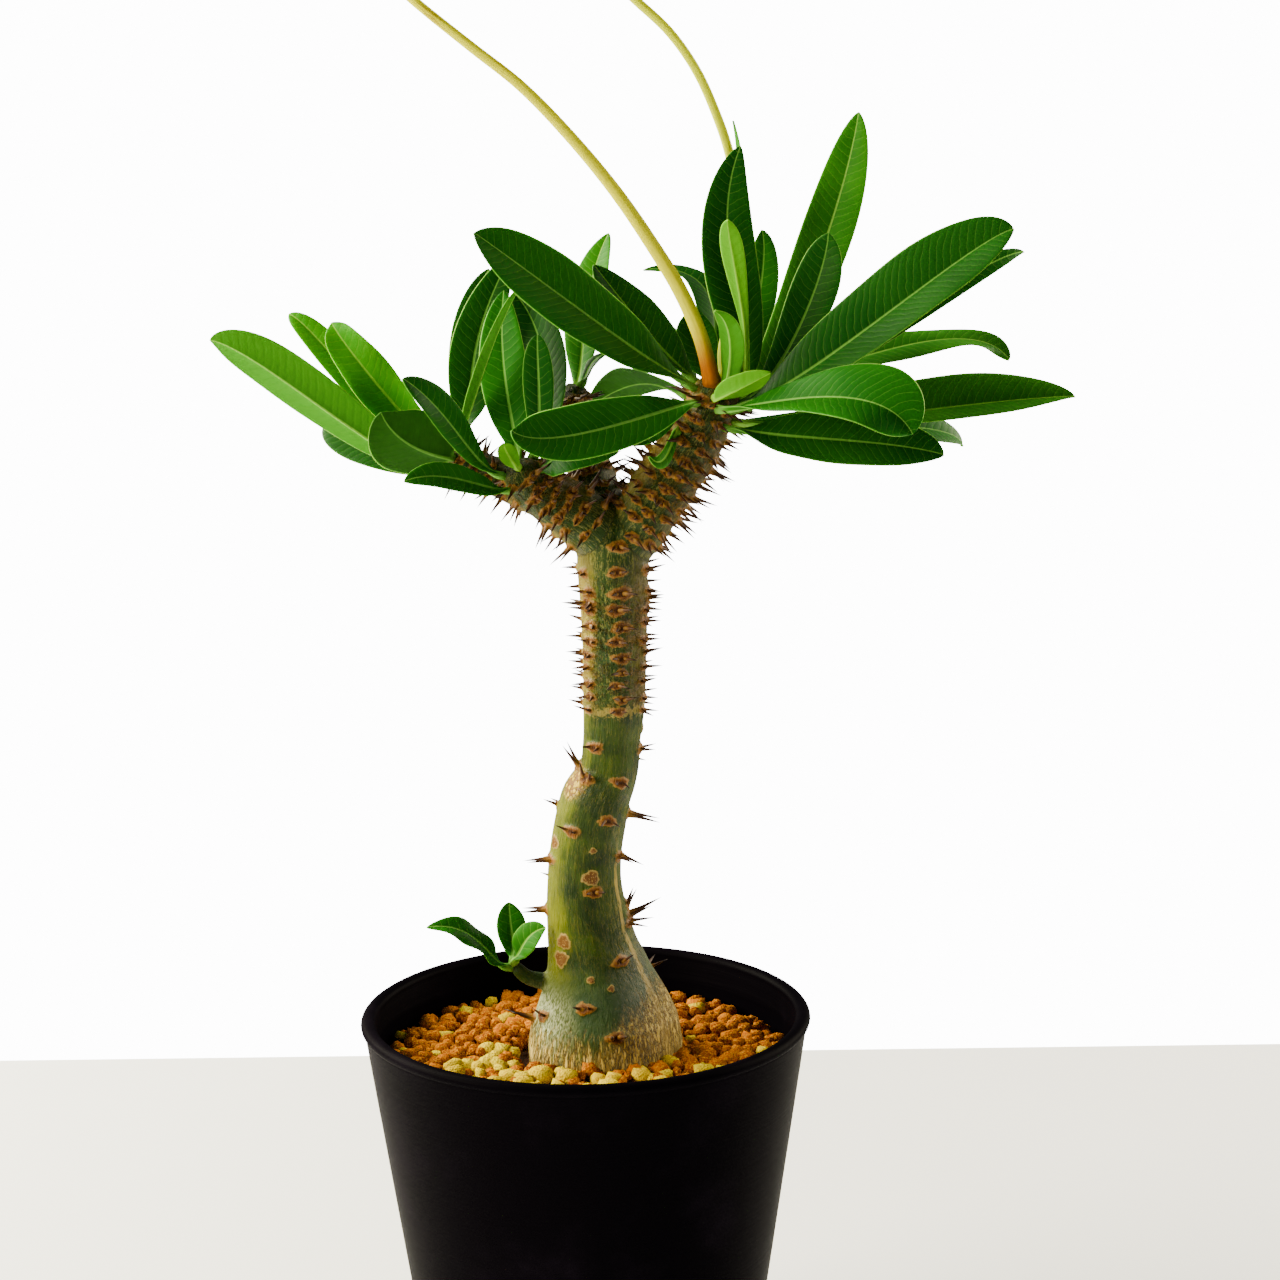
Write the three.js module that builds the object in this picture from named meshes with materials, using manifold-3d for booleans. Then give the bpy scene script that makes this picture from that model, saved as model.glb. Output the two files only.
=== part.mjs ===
// A spiny caudex succulent in a plain plastic pot: swollen foot, bent stem, forked limbs with a head of
// lance-shaped leaves on each, two flower stalks and a small side shoot.
// Millimetres, +Z up. The origin is on the surface that the pot stands on, at the pot's axis.
// The front of the plant faces -Y. Compass angles run from the front (0) towards +X (90).
import * as THREE from "three";
import { mergeVertices } from "three/addons/utils/BufferGeometryUtils.js";
import Module from "manifold-3d";

const wasm = await Module();
wasm.setup();

// Pot
const POT_HEIGHT = 118;
const RIM_RADIUS = 60;
const BASE_RADIUS = 42;
const LIP_WIDTH = 4;
const LIP_HEIGHT = 3;
const LIP_STEP = 0.5;
const LIP_ROUNDING = 1.4;
const NECK_DEPTH = 9;
const NECK_BOTTOM_DEPTH = 14;
const WALL = 2;
const FLOOR_TOP = 5.5;
const FOOT_HEIGHT = 2;
const FOOT_RING_WIDTH = 3;
const FOOT_BOSS_RADIUS = 12;
const FOOT_DRAFT = 1;
const DRAIN_HOLES = 6;
const DRAIN_HOLE_RADIUS = 4;
const DRAIN_CIRCLE_RADIUS = 26;
const DRAIN_HOLE_SIDES = 12;
const POT_SIDES = 40;

// Grit: a filling with the coarsest grains standing out of its top, between two radii
const GRIT_EDGE_HEIGHT = 105.5;
const GRIT_MIDDLE_HEIGHT = 107.5;
const GRIT_SIDES = 32;
const GRAIN_COUNT = 92;
const GRAIN_RADIUS = [4.2, 5.2];
const GRAIN_RING = [23.5, 50];
const GRAIN_RISE = 0.9;
const GOLDEN_ANGLE = 137.508;

// Gaps
const SEAT_GAP = 0.35;
const LEAF_SEAT_GAP = 0.75;

// Trunk and limbs: [x, y, z, radius] of sections along each centre line, from its root to its tip.
const TRUNK = [
  [4.7, 0, 80, 8],
  [4.7, 0, 90, 15.5],
  [4.7, 0, 100, 20.4],
  [4.8, 0, 109, 20.8],
  [4.7, 0, 116, 19.6],
  [4.2, 0, 122.5, 17],
  [3.4, 0, 129, 14],
  [2.2, 0, 136, 12],
  [1, 0, 144, 10.8],
  [0.4, 0, 154, 9.8],
  [0.9, 0, 162, 9.5],
  [2.2, 0, 170, 9.4],
  [3.6, 0, 176, 9.2],
  [7, 0, 183.5, 7.7],
  [7.9, 0, 192, 7.5],
  [8.6, 0, 201, 8.1],
  [9.1, 0, 215, 8.3],
  [9.2, 0, 229, 8.8],
  [9.1, 0, 240, 9.3],
  [9.6, 0, 248, 8.8],
];
const RIGHT_LIMB = [
  [10.5, 0, 242, 7.8],
  [17, -0.5, 251, 7.9],
  [21.5, -1.2, 258, 8],
  [26.2, -2.2, 265, 8],
  [30.8, -3.2, 272, 7.5],
  [34.4, -4.2, 279, 6.4],
  [37.6, -5, 287, 5.8],
];
const LEFT_LIMB = [
  [8, 0, 245, 8.2],
  [0, -1.5, 252, 7.7],
  [-6.5, -3, 256.5, 6.8],
  [-11.5, -5, 260, 5.6],
  [-15.5, -7, 267, 4.4],
];
const FAR_LEFT_LIMB = [
  [-5, -1, 255.5, 6.4],
  [-13.3, 1, 259, 6],
  [-20, 3, 261.3, 5.2],
  [-27.4, 5, 264, 4.4],
  [-33, 6, 268.5, 4],
];
const BACK_LIMB = [
  [8, 1, 246, 7.4],
  [5.5, 6, 254.5, 6.6],
  [3, 9.5, 263, 5.9],
  [0.8, 12, 272, 5],
  [-2, 14, 284.5, 4.3],
];
const SIDE_SHOOT = [
  [-10, -2, 126.5, 2.4],
  [-15.5, -3.4, 128.5, 2],
  [-19.5, -4, 133, 1.7],
];
const TRUNK_SIDES = 14;
const LIMB_SIDES = 10;
const TRUNK_STEP = 5;
const LIMB_STEP = 4.5;
const SHOOT_SIDES = 6;
const SHOOT_STEP = 3;
const DOME = 3.5;
const DOME_RINGS = [0.45, 0.12];
const FURROWS = 5;
const FURROW_DEPTH = 0.02;
const FURROW_TWIST = 14;

// Spines on the trunk's upper half and on the limbs: rows along the limb, columns round it.
const SPINE_ROOT = 1.1;
const SPINE_RADIUS = 0.75;
const SPINE_SIDES = 3;
const SPINE_CLEARANCE = 1.3;
const SPINE_SHIFT = 1.5;
const SPINE_TURN = 12;
const SPINE_RISE = [-9.6, 14.4];
const SPINE_BANDS = [
  { limb: TRUNK, from: 5, to: 50, rows: 8, columns: 7, length: [3.6, 5] },
  { limb: RIGHT_LIMB, from: 8, to: 46, rows: 8, columns: 7, length: [6, 8] },
  { limb: LEFT_LIMB, from: 5, to: 27, rows: 5, columns: 6, length: [5, 7.5] },
  { limb: FAR_LEFT_LIMB, from: 5, to: 29, rows: 5, columns: 6, length: [5, 7.5] },
  { limb: BACK_LIMB, from: 5, to: 34, rows: 6, columns: 6, length: [4.5, 6.5] },
];
// Spines of the old trunk: [compass angle, height, length, rise in degrees]
const OLD_SPINES = [
  [-85, 177, 6.8, 35],
  [-60, 179, 3.6, 60],
  [82, 172.5, 8, 5],
  [-86, 158, 8, -5],
  [55, 161, 5, -12],
  [-88, 145.5, 8.2, 8],
  [80, 143, 9, 6],
  [70, 142, 7, 0],
  [92, 146, 4.8, 42],
  [20, 149, 6.5, 12],
  [88, 186.5, 3.8, 10],
  [40, 117.5, 7.6, 25],
  [-62, 118.5, 8, 18],
  [150, 168, 6, 5],
  [-140, 153, 6.5, 0],
  [175, 140, 7, 5],
  [-160, 182, 4.5, 10],
  [120, 126, 6, 12],
];

// Leaves: [name, limb, compass angle of the seat, distance of the seat below the tip of the limb,
// point that the midrib passes, tip, width, roll of the blade in degrees, fold, wave,
// share of the length where the blade is widest]
const LEAF_THICKNESS = 0.7;
const PETIOLE_THICKENING = 0.5;
const PETIOLE_WIDTH = 2.2;
const LEAF_STATIONS = 10;
const STATION_CORNERS = 6;
const PASSING_SHARE = 0.6;
const ROLL_SHARE = 0.35;
const TIP_WIDTH = 0.8;
const POINTEDNESS = 0.55;
const WAVES = 2.5;
const LEAVING_LEAN = 1.2;
const LEAVING_LENGTH = 0.2;
const UPPER_LEAN = 0.5;
const PETIOLE_END = 8;
const FULL_RIPPLE_WIDTH = 4;
const LEAVES = [
  ["leaf_right_01", RIGHT_LIMB, -72, 4.2, [-3, -14, 309], [-24, -18, 325], 20, 50],
  ["leaf_right_02", RIGHT_LIMB, -112, 3.4, [17, 6, 300], [5, 12, 315], 15, 30],
  ["leaf_right_03", RIGHT_LIMB, -170, 7.4, [36, 38, 303], [18, 52, 311], 11, 0],
  ["leaf_right_04", RIGHT_LIMB, -132, 6.4, [24, 22.5, 296], [11.5, 35, 301], 11, 0],
  ["leaf_right_05", RIGHT_LIMB, -160, 3.2, [31.5, 10, 294.5], [32, 14, 303], 11, 30],
  ["leaf_right_06", RIGHT_LIMB, -108, 8, [16, 24, 283], [2, 36, 275], 13, 10],
  ["leaf_right_07", RIGHT_LIMB, 112, 1.7, [40.2, 5, 315], [43, 5, 345], 14, 10, 0.18, 0, 0.6],
  ["leaf_right_08", RIGHT_LIMB, 168, 5.2, [43, 27, 320], [42, 31, 351], 11, -80],
  ["leaf_right_09", RIGHT_LIMB, 147, 3.2, [48, 17.5, 306], [49, 22, 323], 9, 10],
  ["leaf_right_10", RIGHT_LIMB, 62, 1.4, [42, -6, 309], [39, -10, 327], 6, 10, 0.18, 0, 0.8],
  ["leaf_right_11", RIGHT_LIMB, 15, 1.8, [39.5, -12, 297], [35.5, -16, 305], 8, 10],
  ["leaf_right_12", RIGHT_LIMB, 117, 4.4, [65, 14, 320], [74, 18, 353], 14, 20],
  ["leaf_right_13", RIGHT_LIMB, 80, 4.2, [59.5, 0.5, 303.5], [65, 0, 323], 12.5, 55, 0.14, 0, 0.68],
  ["leaf_right_14", RIGHT_LIMB, 47, 5.8, [85, -14, 308], [110, -15, 324], 22.5, 58, 0.3, 0, 0.6],
  ["leaf_right_15", RIGHT_LIMB, 99, 6.4, [90, 12.5, 303.5], [116, 10, 317], 7, 60],
  ["leaf_right_16", RIGHT_LIMB, 145, 6.8, [87, 22, 292.2], [114, 22, 288], 14, -8, 0.1],
  ["leaf_right_17", RIGHT_LIMB, 80, 8.8, [90, 6, 276.7], [129, 5, 280], 18, 30, 0.4, 0, 0.68],
  ["leaf_right_18", RIGHT_LIMB, 15, 6.5, [64, -36, 285], [82, -46, 277], 21, 60, 0.3, 0, 0.74],
  ["leaf_right_19", RIGHT_LIMB, 48, 10, [70, -18, 272], [92, -24, 269], 16, 60],
  ["leaf_right_20", RIGHT_LIMB, 118, 10.5, [84, 22, 271], [103, 34, 264], 12, 20],
  ["leaf_right_21", RIGHT_LIMB, -40, 7.4, [2, -28, 276], [-15, -36, 278], 16, 45],
  ["leaf_right_22", RIGHT_LIMB, -72, 11, [17, -9, 274.5], [4, -11, 277], 9, 50],
  ["leaf_right_23", RIGHT_LIMB, -46, 16.8, [22.5, -16.4, 268.3], [18.5, -19, 269.1], 4, 30],
  ["leaf_right_24", RIGHT_LIMB, 0, 4, [42, -18, 286], [49, -22, 290], 9, 0],
  ["leaf_left_01", FAR_LEFT_LIMB, -94, 3.4, [-70.7, 0, 284.6], [-93, 0, 298], 14, -52, 0.4, 0, 0.62],
  ["leaf_left_02", FAR_LEFT_LIMB, -115, 3, [-61, 20, 288], [-76, 28, 302], 9, 10],
  ["leaf_left_03", FAR_LEFT_LIMB, -140, 1.5, [-53, 10, 287], [-63, 12, 301], 12, 20, 0.18, 1.2],
  ["leaf_left_04", FAR_LEFT_LIMB, -15, 2.4, [-41.8, -14, 272.4], [-48, -21, 281.2], 19, 0, 0.18, 0, 0.55],
  ["leaf_left_05", FAR_LEFT_LIMB, -140, 5, [-55, 26, 268], [-67, 36, 273], 15, 10],
  ["leaf_left_06", LEFT_LIMB, -75, 2, [-31, -18, 277.5], [-42, -26, 290], 11, 60, 0.18, 0, 0.66],
  ["leaf_left_07", LEFT_LIMB, -50, 5, [-30, -22, 264.4], [-42, -30, 265], 8.5, 60],
  ["leaf_left_08", LEFT_LIMB, 0, 1, [-17, -11, 269], [-18, -13, 272], 5, 0],
  ["leaf_left_09", LEFT_LIMB, 115, 2, [-9, -7, 287], [-9, -8, 299], 8, 60],
  ["leaf_left_10", LEFT_LIMB, 170, 1.5, [-18, 3, 288], [-18, 8, 309], 13, 10],
  ["leaf_left_11", FAR_LEFT_LIMB, 50, 1.5, [-22, -6, 293], [-14, -7, 310], 9, 10],
  ["leaf_left_12", FAR_LEFT_LIMB, 100, 1.5, [-26, 12, 293], [-16, 16, 318], 13, 80],
  ["leaf_left_13", FAR_LEFT_LIMB, 150, 2, [-29, 24, 293], [-23, 34, 313], 9, 50],
  ["leaf_left_14", BACK_LIMB, 160, 2, [3, 26, 303], [9, 34, 322], 12, 10],
  ["leaf_left_15", LEFT_LIMB, 130, 3.2, [-8, 11, 290], [-16, 19, 308], 15, 10],
  ["leaf_left_16", BACK_LIMB, 60, 1.5, [4, 12, 289], [8, 12, 292], 4, 50],
  ["leaf_left_17", BACK_LIMB, -115, 3, [-7, 16, 286.5], [-11, 17, 287], 4, 10],
  ["leaf_left_18", LEFT_LIMB, 75, 5, [-2, -14, 270], [11, -18, 270], 14, 30],
  ["shoot_leaf_1", SIDE_SHOOT, -70, 1, [-29, -9, 141], [-41, -12, 145], 8, 50, 0.18, 0.8],
  ["shoot_leaf_2", SIDE_SHOOT, 150, 0.8, [-19.5, 0, 141], [-20, 2, 147.5], 8, 60],
  ["shoot_leaf_3", SIDE_SHOOT, 60, 0.8, [-15, -6, 139.5], [-10, -7, 143], 8, 60],
];

// Flower stalks: compass angle and distance below the limb's tip of the foot, points that the centre line
// passes after it, and the radius at the foot and at the end
const FRONT_STALK = {
  foot: [-40, 1],
  points: [
    [32, -8.5, 298],
    [27, -6.5, 309.5],
    [19.5, -6, 322],
    [11, -6, 334.5],
    [0, -6, 348],
    [-12, -6, 360.5],
    [-24.5, -6, 370.5],
    [-38.5, -6, 382],
    [-51, -6, 394],
    [-58, -6, 406],
    [-60, -6, 418],
  ],
  radii: [2.2, 1],
};
const BACK_STALK = {
  foot: [175, 1],
  points: [
    [38, 2.5, 292.5],
    [40, 8, 301],
    [43, 11, 315],
    [42.5, 12, 330],
    [40.3, 12, 343],
    [37, 12, 353],
    [32, 11, 364],
    [25.3, 10, 373.5],
    [16.3, 9, 382],
    [7, 8, 391],
    [1, 8, 401],
    [-1, 8, 412],
  ],
  radii: [1.5, 0.9],
};
const STALK_SIDES = 8;
const STALK_STEPS = 22;
const STALK_CLEAR_POINTS = 60;
const BUD_COUNT = 6;
const BUD_LENGTH = [8, 15];
const BUD_RADIUS = 1.6;
const BUD_SIDES = 5;
const BUD_STEM_RADIUS = 0.55;
const BUD_STEM_SHARE = 0.35;
const BUD_LEAN = [28, 50];
const CYME_KNOB_RADIUS = 1.8;

const MATERIALS = {
  pot: { color: 0x17161a, roughness: 0.55, metalness: 0 },
  grit: { color: 0xb9641c, roughness: 0.95, metalness: 0 },
  bark: { color: 0x6b7a3c, roughness: 0.7, metalness: 0 },
  leaf: { color: 0x2c7a1e, roughness: 0.4, metalness: 0 },
  stalk: { color: 0xc9cf2c, roughness: 0.5, metalness: 0 },
  bud: { color: 0x9bb53a, roughness: 0.5, metalness: 0 },
};

// Evenly spread numbers from 0 to 1 that are the same on every run.
function seededRandom(seed) {
  let state = seed;
  return () => {
    state = (state + 0x6d2b79f5) | 0;
    let mixed = Math.imul(state ^ (state >>> 15), 1 | state);
    mixed = (mixed + Math.imul(mixed ^ (mixed >>> 7), 61 | mixed)) ^ mixed;
    return ((mixed ^ (mixed >>> 14)) >>> 0) / 4294967296;
  };
}

const lerp = THREE.MathUtils.lerp;
const between = (range, share) => lerp(range[0], range[1], share);
const radians = THREE.MathUtils.degToRad;
const vector = ([x, y, z]) => new THREE.Vector3(x, y, z);
const compass = (degrees) => new THREE.Vector3(Math.sin(radians(degrees)), -Math.cos(radians(degrees)), 0);
const squareTo = (v, axis) => v.clone().addScaledVector(axis, -v.dot(axis)).normalize();

// A closed geometry from vertices and triangles that share them.
function closedGeometry(vertices, triangles) {
  const geometry = new THREE.BufferGeometry();
  const numbers = vertices.flatMap((vertex) => vertex.toArray());
  geometry.setAttribute("position", new THREE.Float32BufferAttribute(numbers, 3));
  geometry.setIndex(triangles.flat());
  return geometry;
}

function solidOf(geometry) {
  const plain = geometry.clone();
  plain.deleteAttribute("normal");
  plain.deleteAttribute("uv");
  const merged = mergeVertices(plain, 1e-4);
  return new wasm.Manifold(
    new wasm.Mesh({
      numProp: 3,
      vertProperties: new Float32Array(merged.attributes.position.array),
      triVerts: new Uint32Array(merged.index.array),
    }),
  );
}

function geometryOf(solid) {
  const mesh = solid.getMesh();
  const geometry = new THREE.BufferGeometry();
  geometry.setAttribute("position", new THREE.BufferAttribute(mesh.vertProperties, 3));
  geometry.setIndex(new THREE.BufferAttribute(mesh.triVerts, 1));
  return geometry;
}

function named(name, geometry, material) {
  const mesh = new THREE.Mesh(geometry, new THREE.MeshStandardMaterial(MATERIALS[material]));
  mesh.name = name;
  return mesh;
}

// A lathe about +Z from [radius, height] points.
function turned(profile, sides) {
  const points = profile.map(([radius, height]) => new THREE.Vector2(radius, height));
  return new THREE.LatheGeometry(points, sides).rotateX(Math.PI / 2);
}

// Limbs

// The centre line's length, and its point, direction and radius at a distance below the limb's tip.
function measuredLimb(sections) {
  const line = new THREE.CatmullRomCurve3(sections.map(vector), false, "centripetal");
  const length = line.getLength();
  const at = (below) => {
    const share = THREE.MathUtils.clamp(1 - below / length, 0, 1);
    const place = line.getUtoTmapping(share) * (sections.length - 1);
    const before = Math.min(Math.floor(place), sections.length - 2);
    const rise = Math.max(0, 1 - below / DOME);
    const level = Math.sqrt(1 - rise ** 2);
    const radius = level * lerp(sections[before][3], sections[before + 1][3], place - before);
    return { point: line.getPointAt(share), axis: line.getTangentAt(share), radius, rise, level };
  };
  return { length, at };
}

const measuredLimbs = new Map();

function limbShape(sections) {
  if (!measuredLimbs.has(sections)) measuredLimbs.set(sections, measuredLimb(sections));
  return measuredLimbs.get(sections);
}

// A closed tube through rings of vertices, with an end point before the first ring and after the last.
function closedTube(first, rings, last) {
  const sides = rings[0].length;
  const vertices = [first, ...rings.flat(), last];
  const triangles = [];
  for (let j = 0; j < sides; j++) {
    const next = (j + 1) % sides;
    triangles.push([0, 1 + next, 1 + j]);
    for (let ring = 1 + sides; ring < vertices.length - 1; ring += sides) {
      triangles.push([ring - sides + j, ring - sides + next, ring + next]);
      triangles.push([ring - sides + j, ring + next, ring + j]);
    }
    const top = vertices.length - 1 - sides;
    triangles.push([top + j, top + next, vertices.length - 1]);
  }
  return closedGeometry(vertices, triangles);
}

// A ring of points about an axis, the first of them towards the given side.
function ringAbout(point, axis, towards, sides, radiusAt) {
  const side = squareTo(towards, axis);
  const other = new THREE.Vector3().crossVectors(axis, side);
  return Array.from({ length: sides }, (_, j) => {
    const angle = (2 * Math.PI * j) / sides;
    const radius = radiusAt(angle);
    return point
      .clone()
      .addScaledVector(side, radius * Math.cos(angle))
      .addScaledVector(other, radius * Math.sin(angle));
  });
}

// A limb with a domed tip. Furrows make its section slightly lobed.
function limbSolid(sections, sides, step, furrowDepth = 0) {
  const { length, at } = limbShape(sections);
  const stations = Math.round((length - DOME) / step);
  const belows = Array.from({ length: stations + 1 }, (_, i) => lerp(length, DOME, i / stations));
  belows.push(...DOME_RINGS.map((share) => DOME * share));
  const rings = belows.map((below) => {
    const { point, axis, radius } = at(below);
    const lobes = (angle) => Math.sin(FURROWS * angle + point.z / FURROW_TWIST);
    return ringAbout(point, axis, compass(90), sides, (angle) => radius * (1 + furrowDepth * lobes(angle)));
  });
  return solidOf(closedTube(at(length).point, rings, at(0).point));
}

// The point clear by a gap of a limb's surface, at a compass angle and a distance below the limb's tip.
function seatOn(sections, angle, below, gap) {
  const { point, axis, radius, rise, level } = limbShape(sections).at(below);
  const outward = squareTo(compass(angle), axis);
  const normal = outward.clone().multiplyScalar(level).addScaledVector(axis, rise);
  const seat = point.addScaledVector(outward, radius).addScaledVector(normal, gap);
  return { seat, outward, axis, normal };
}

// Leaves

function halfWidth(share, width, widest) {
  const rise = (widest / (1 - widest)) * POINTEDNESS;
  const peak = widest ** rise * (1 - widest) ** POINTEDNESS;
  const blade = ((width / 2) * share ** rise * (1 - share) ** POINTEDNESS) / peak;
  return Math.max(blade, share < 0.5 ? PETIOLE_WIDTH / 2 : TIP_WIDTH / 2);
}

// The centre line leaves the limb outwards, passes the given point at PASSING_SHARE and ends at the tip.
function leafCentreline(seat, outward, passed, tip) {
  const towardsPassed = passed.clone().sub(seat).normalize();
  const start = outward.clone().addScaledVector(towardsPassed, LEAVING_LEAN).normalize();
  const first = seat.clone().addScaledVector(start, LEAVING_LENGTH * seat.distanceTo(tip));
  const t = PASSING_SHARE;
  const u = 1 - t;
  const second = passed
    .clone()
    .addScaledVector(seat, -(u ** 3))
    .addScaledVector(first, -3 * u * u * t)
    .addScaledVector(tip, -(t ** 3))
    .divideScalar(3 * u * t * t);
  return new THREE.CubicBezierCurve3(seat, first, second, tip);
}

// The blade's upper face looks towards the limb's tip at the seat, and is rolled about the chord further out.
function leafGeometry([, limb, angle, below, passed, tip, width, roll, fold = 0.18, wave = 0, widest = 0.6]) {
  const { seat, outward, axis } = seatOn(limb, angle, below, LEAF_SEAT_GAP);
  const line = leafCentreline(seat, outward, vector(passed), vector(tip));
  const upper = axis.clone().addScaledVector(outward, -UPPER_LEAN);
  const chord = vector(tip).sub(seat).normalize();
  const unrolled = squareTo(upper, chord);
  const frontward = new THREE.Vector3().crossVectors(chord, unrolled);
  if (frontward.y > 0) frontward.negate();
  const rolled = unrolled
    .clone()
    .multiplyScalar(Math.cos(radians(roll)))
    .addScaledVector(frontward, Math.sin(radians(roll)));
  const vertices = [];
  for (let i = 0; i < LEAF_STATIONS; i++) {
    const share = i / (LEAF_STATIONS - 1);
    const along = line.getTangent(share);
    const turn = THREE.MathUtils.smoothstep(share, 0, ROLL_SHARE);
    const normal = squareTo(upper.clone().normalize().lerp(rolled, turn), along);
    const across = new THREE.Vector3().crossVectors(along, normal);
    const half = halfWidth(share, width, widest);
    const thick = LEAF_THICKNESS + PETIOLE_THICKENING * Math.exp(-PETIOLE_END * share);
    for (const column of [-1, 0, 1]) {
      const phase = column > 0 ? 0.25 : 0;
      const fullness = Math.min(1, half / FULL_RIPPLE_WIDTH);
      const ripple = wave * fullness * Math.sin(2 * Math.PI * (WAVES * share + phase));
      const lift = Math.abs(column) * (fold * half + ripple);
      const middle = line.getPoint(share);
      middle.addScaledVector(across, column * half).addScaledVector(normal, lift);
      vertices.push(middle.clone().addScaledVector(normal, thick / 2));
      vertices.push(middle.addScaledVector(normal, -thick / 2));
    }
  }
  return closedGeometry(vertices, bladeTriangles(LEAF_STATIONS));
}

// Each station has six vertices: left top, left bottom, rib top, rib bottom, right top, right bottom.
function bladeTriangles(stations) {
  const triangles = [];
  const quad = (a, b, c, d) => triangles.push([a, b, c], [a, c, d]);
  for (let i = 0; i + 1 < stations; i++) {
    const here = STATION_CORNERS * i;
    const next = here + STATION_CORNERS;
    for (const column of [0, 2]) {
      quad(here + column, here + column + 2, next + column + 2, next + column);
      triangles.push([here + column + 1, next + column + 3, here + column + 3]);
      triangles.push([here + column + 1, next + column + 1, next + column + 3]);
    }
    quad(here, next, next + 1, here + 1);
    quad(here + 4, here + 5, next + 5, next + 4);
  }
  const last = STATION_CORNERS * (stations - 1);
  for (const column of [0, 2]) {
    quad(column, column + 1, column + 3, column + 2);
    quad(last + column, last + column + 2, last + column + 3, last + column + 1);
  }
  return triangles;
}

// Trunk with limbs and spines

function spineSolid(foot, direction, length) {
  const whole = length + SPINE_ROOT;
  const cone = new THREE.ConeGeometry(SPINE_RADIUS, whole, SPINE_SIDES);
  cone.translate(0, whole / 2 - SPINE_ROOT, 0);
  const turn = new THREE.Quaternion().setFromUnitVectors(new THREE.Vector3(0, 1, 0), direction);
  cone.applyQuaternion(turn).translate(foot.x, foot.y, foot.z);
  return solidOf(cone);
}

// Every third of the way up the spine keeps its distance from the leaves.
function clearOfLeaves(foot, direction, length, keptClear) {
  return [0, 1, 2, 3].every((third) => {
    const place = foot.clone().addScaledVector(direction, (length * third) / 3);
    return keptClear.every((point) => point.distanceTo(place) > SPINE_CLEARANCE);
  });
}

function spineFeet(random) {
  const feet = [];
  for (const { limb, from, to, rows, columns, length } of SPINE_BANDS) {
    for (let row = 0; row < rows; row++) {
      for (let column = 0; column < columns; column++) {
        const below = lerp(from, to, row / (rows - 1)) + SPINE_SHIFT * (random() - 0.5);
        const angle = (360 * (column + 0.5 * (row % 2))) / columns + SPINE_TURN * (random() - 0.5);
        const rise = between(SPINE_RISE, random());
        feet.push({ limb, below, angle, length: between(length, random()), rise });
      }
    }
  }
  return feet;
}

function oldSpineFeet() {
  const { at } = limbShape(TRUNK);
  const scan = 0.5;
  return OLD_SPINES.map(([angle, height, length, rise]) => {
    let below = 0;
    while (at(below).point.z > height) below += scan;
    return { limb: TRUNK, below, angle, length, rise };
  });
}

// A spine that would start inside another limb is left out.
function insideAnotherLimb(place, own, limbs) {
  const scan = 3;
  return limbs.some((limb) => {
    if (limb === own) return false;
    const { length, at } = limbShape(limb);
    for (let below = 0; below < length; below += scan) {
      const { point, radius } = at(below);
      if (point.distanceTo(place) < radius) return true;
    }
    return false;
  });
}

function trunkGeometry(keptClear) {
  const random = seededRandom(11);
  const limbs = [TRUNK, RIGHT_LIMB, LEFT_LIMB, FAR_LEFT_LIMB, BACK_LIMB];
  let wood = limbSolid(TRUNK, TRUNK_SIDES, TRUNK_STEP, FURROW_DEPTH);
  for (const limb of limbs.slice(1)) wood = wood.add(limbSolid(limb, LIMB_SIDES, LIMB_STEP));
  wood = wood.add(limbSolid(SIDE_SHOOT, SHOOT_SIDES, SHOOT_STEP));
  for (const { limb, below, angle, length, rise } of [...spineFeet(random), ...oldSpineFeet()]) {
    const { seat, outward, axis } = seatOn(limb, angle, below, 0);
    const tilt = radians(rise);
    const direction = outward.multiplyScalar(Math.cos(tilt)).addScaledVector(axis, Math.sin(tilt));
    if (insideAnotherLimb(seat, limb, limbs)) continue;
    if (!clearOfLeaves(seat, direction, length, keptClear)) continue;
    wood = wood.add(spineSolid(seat, direction, length));
  }
  return geometryOf(wood);
}

// Pot and grit

function potWallRadius(height) {
  return lerp(BASE_RADIUS, RIM_RADIUS - LIP_STEP, height / POT_HEIGHT);
}

function potGeometry() {
  const lip = RIM_RADIUS - LIP_WIDTH;
  const ring = BASE_RADIUS - FOOT_RING_WIDTH;
  const neckBottom = POT_HEIGHT - NECK_BOTTOM_DEPTH;
  const outline = [
    [0, 0],
    [FOOT_BOSS_RADIUS, 0],
    [FOOT_BOSS_RADIUS + FOOT_DRAFT, FOOT_HEIGHT],
    [ring - FOOT_DRAFT, FOOT_HEIGHT],
    [ring, 0],
    [BASE_RADIUS, 0],
    [potWallRadius(POT_HEIGHT - LIP_HEIGHT), POT_HEIGHT - LIP_HEIGHT],
    [RIM_RADIUS, POT_HEIGHT - LIP_ROUNDING],
    [RIM_RADIUS - LIP_ROUNDING / 2, POT_HEIGHT - LIP_ROUNDING / 4],
    [RIM_RADIUS - LIP_WIDTH / 2, POT_HEIGHT],
    [lip + LIP_ROUNDING / 2, POT_HEIGHT - LIP_ROUNDING / 4],
    [lip, POT_HEIGHT - LIP_ROUNDING],
    [lip, POT_HEIGHT - NECK_DEPTH],
    [potWallRadius(neckBottom) - WALL, neckBottom],
    [potWallRadius(FLOOR_TOP) - WALL, FLOOR_TOP],
    [0, FLOOR_TOP],
  ];
  let pot = solidOf(turned(outline, POT_SIDES));
  for (let i = 0; i < DRAIN_HOLES; i++) {
    const radius = DRAIN_HOLE_RADIUS;
    const hole = new THREE.CylinderGeometry(radius, radius, 3 * FLOOR_TOP, DRAIN_HOLE_SIDES);
    const place = compass((360 * i) / DRAIN_HOLES).multiplyScalar(DRAIN_CIRCLE_RADIUS);
    hole.rotateX(Math.PI / 2).translate(place.x, place.y, FLOOR_TOP);
    pot = pot.subtract(solidOf(hole));
  }
  return geometryOf(pot);
}

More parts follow.
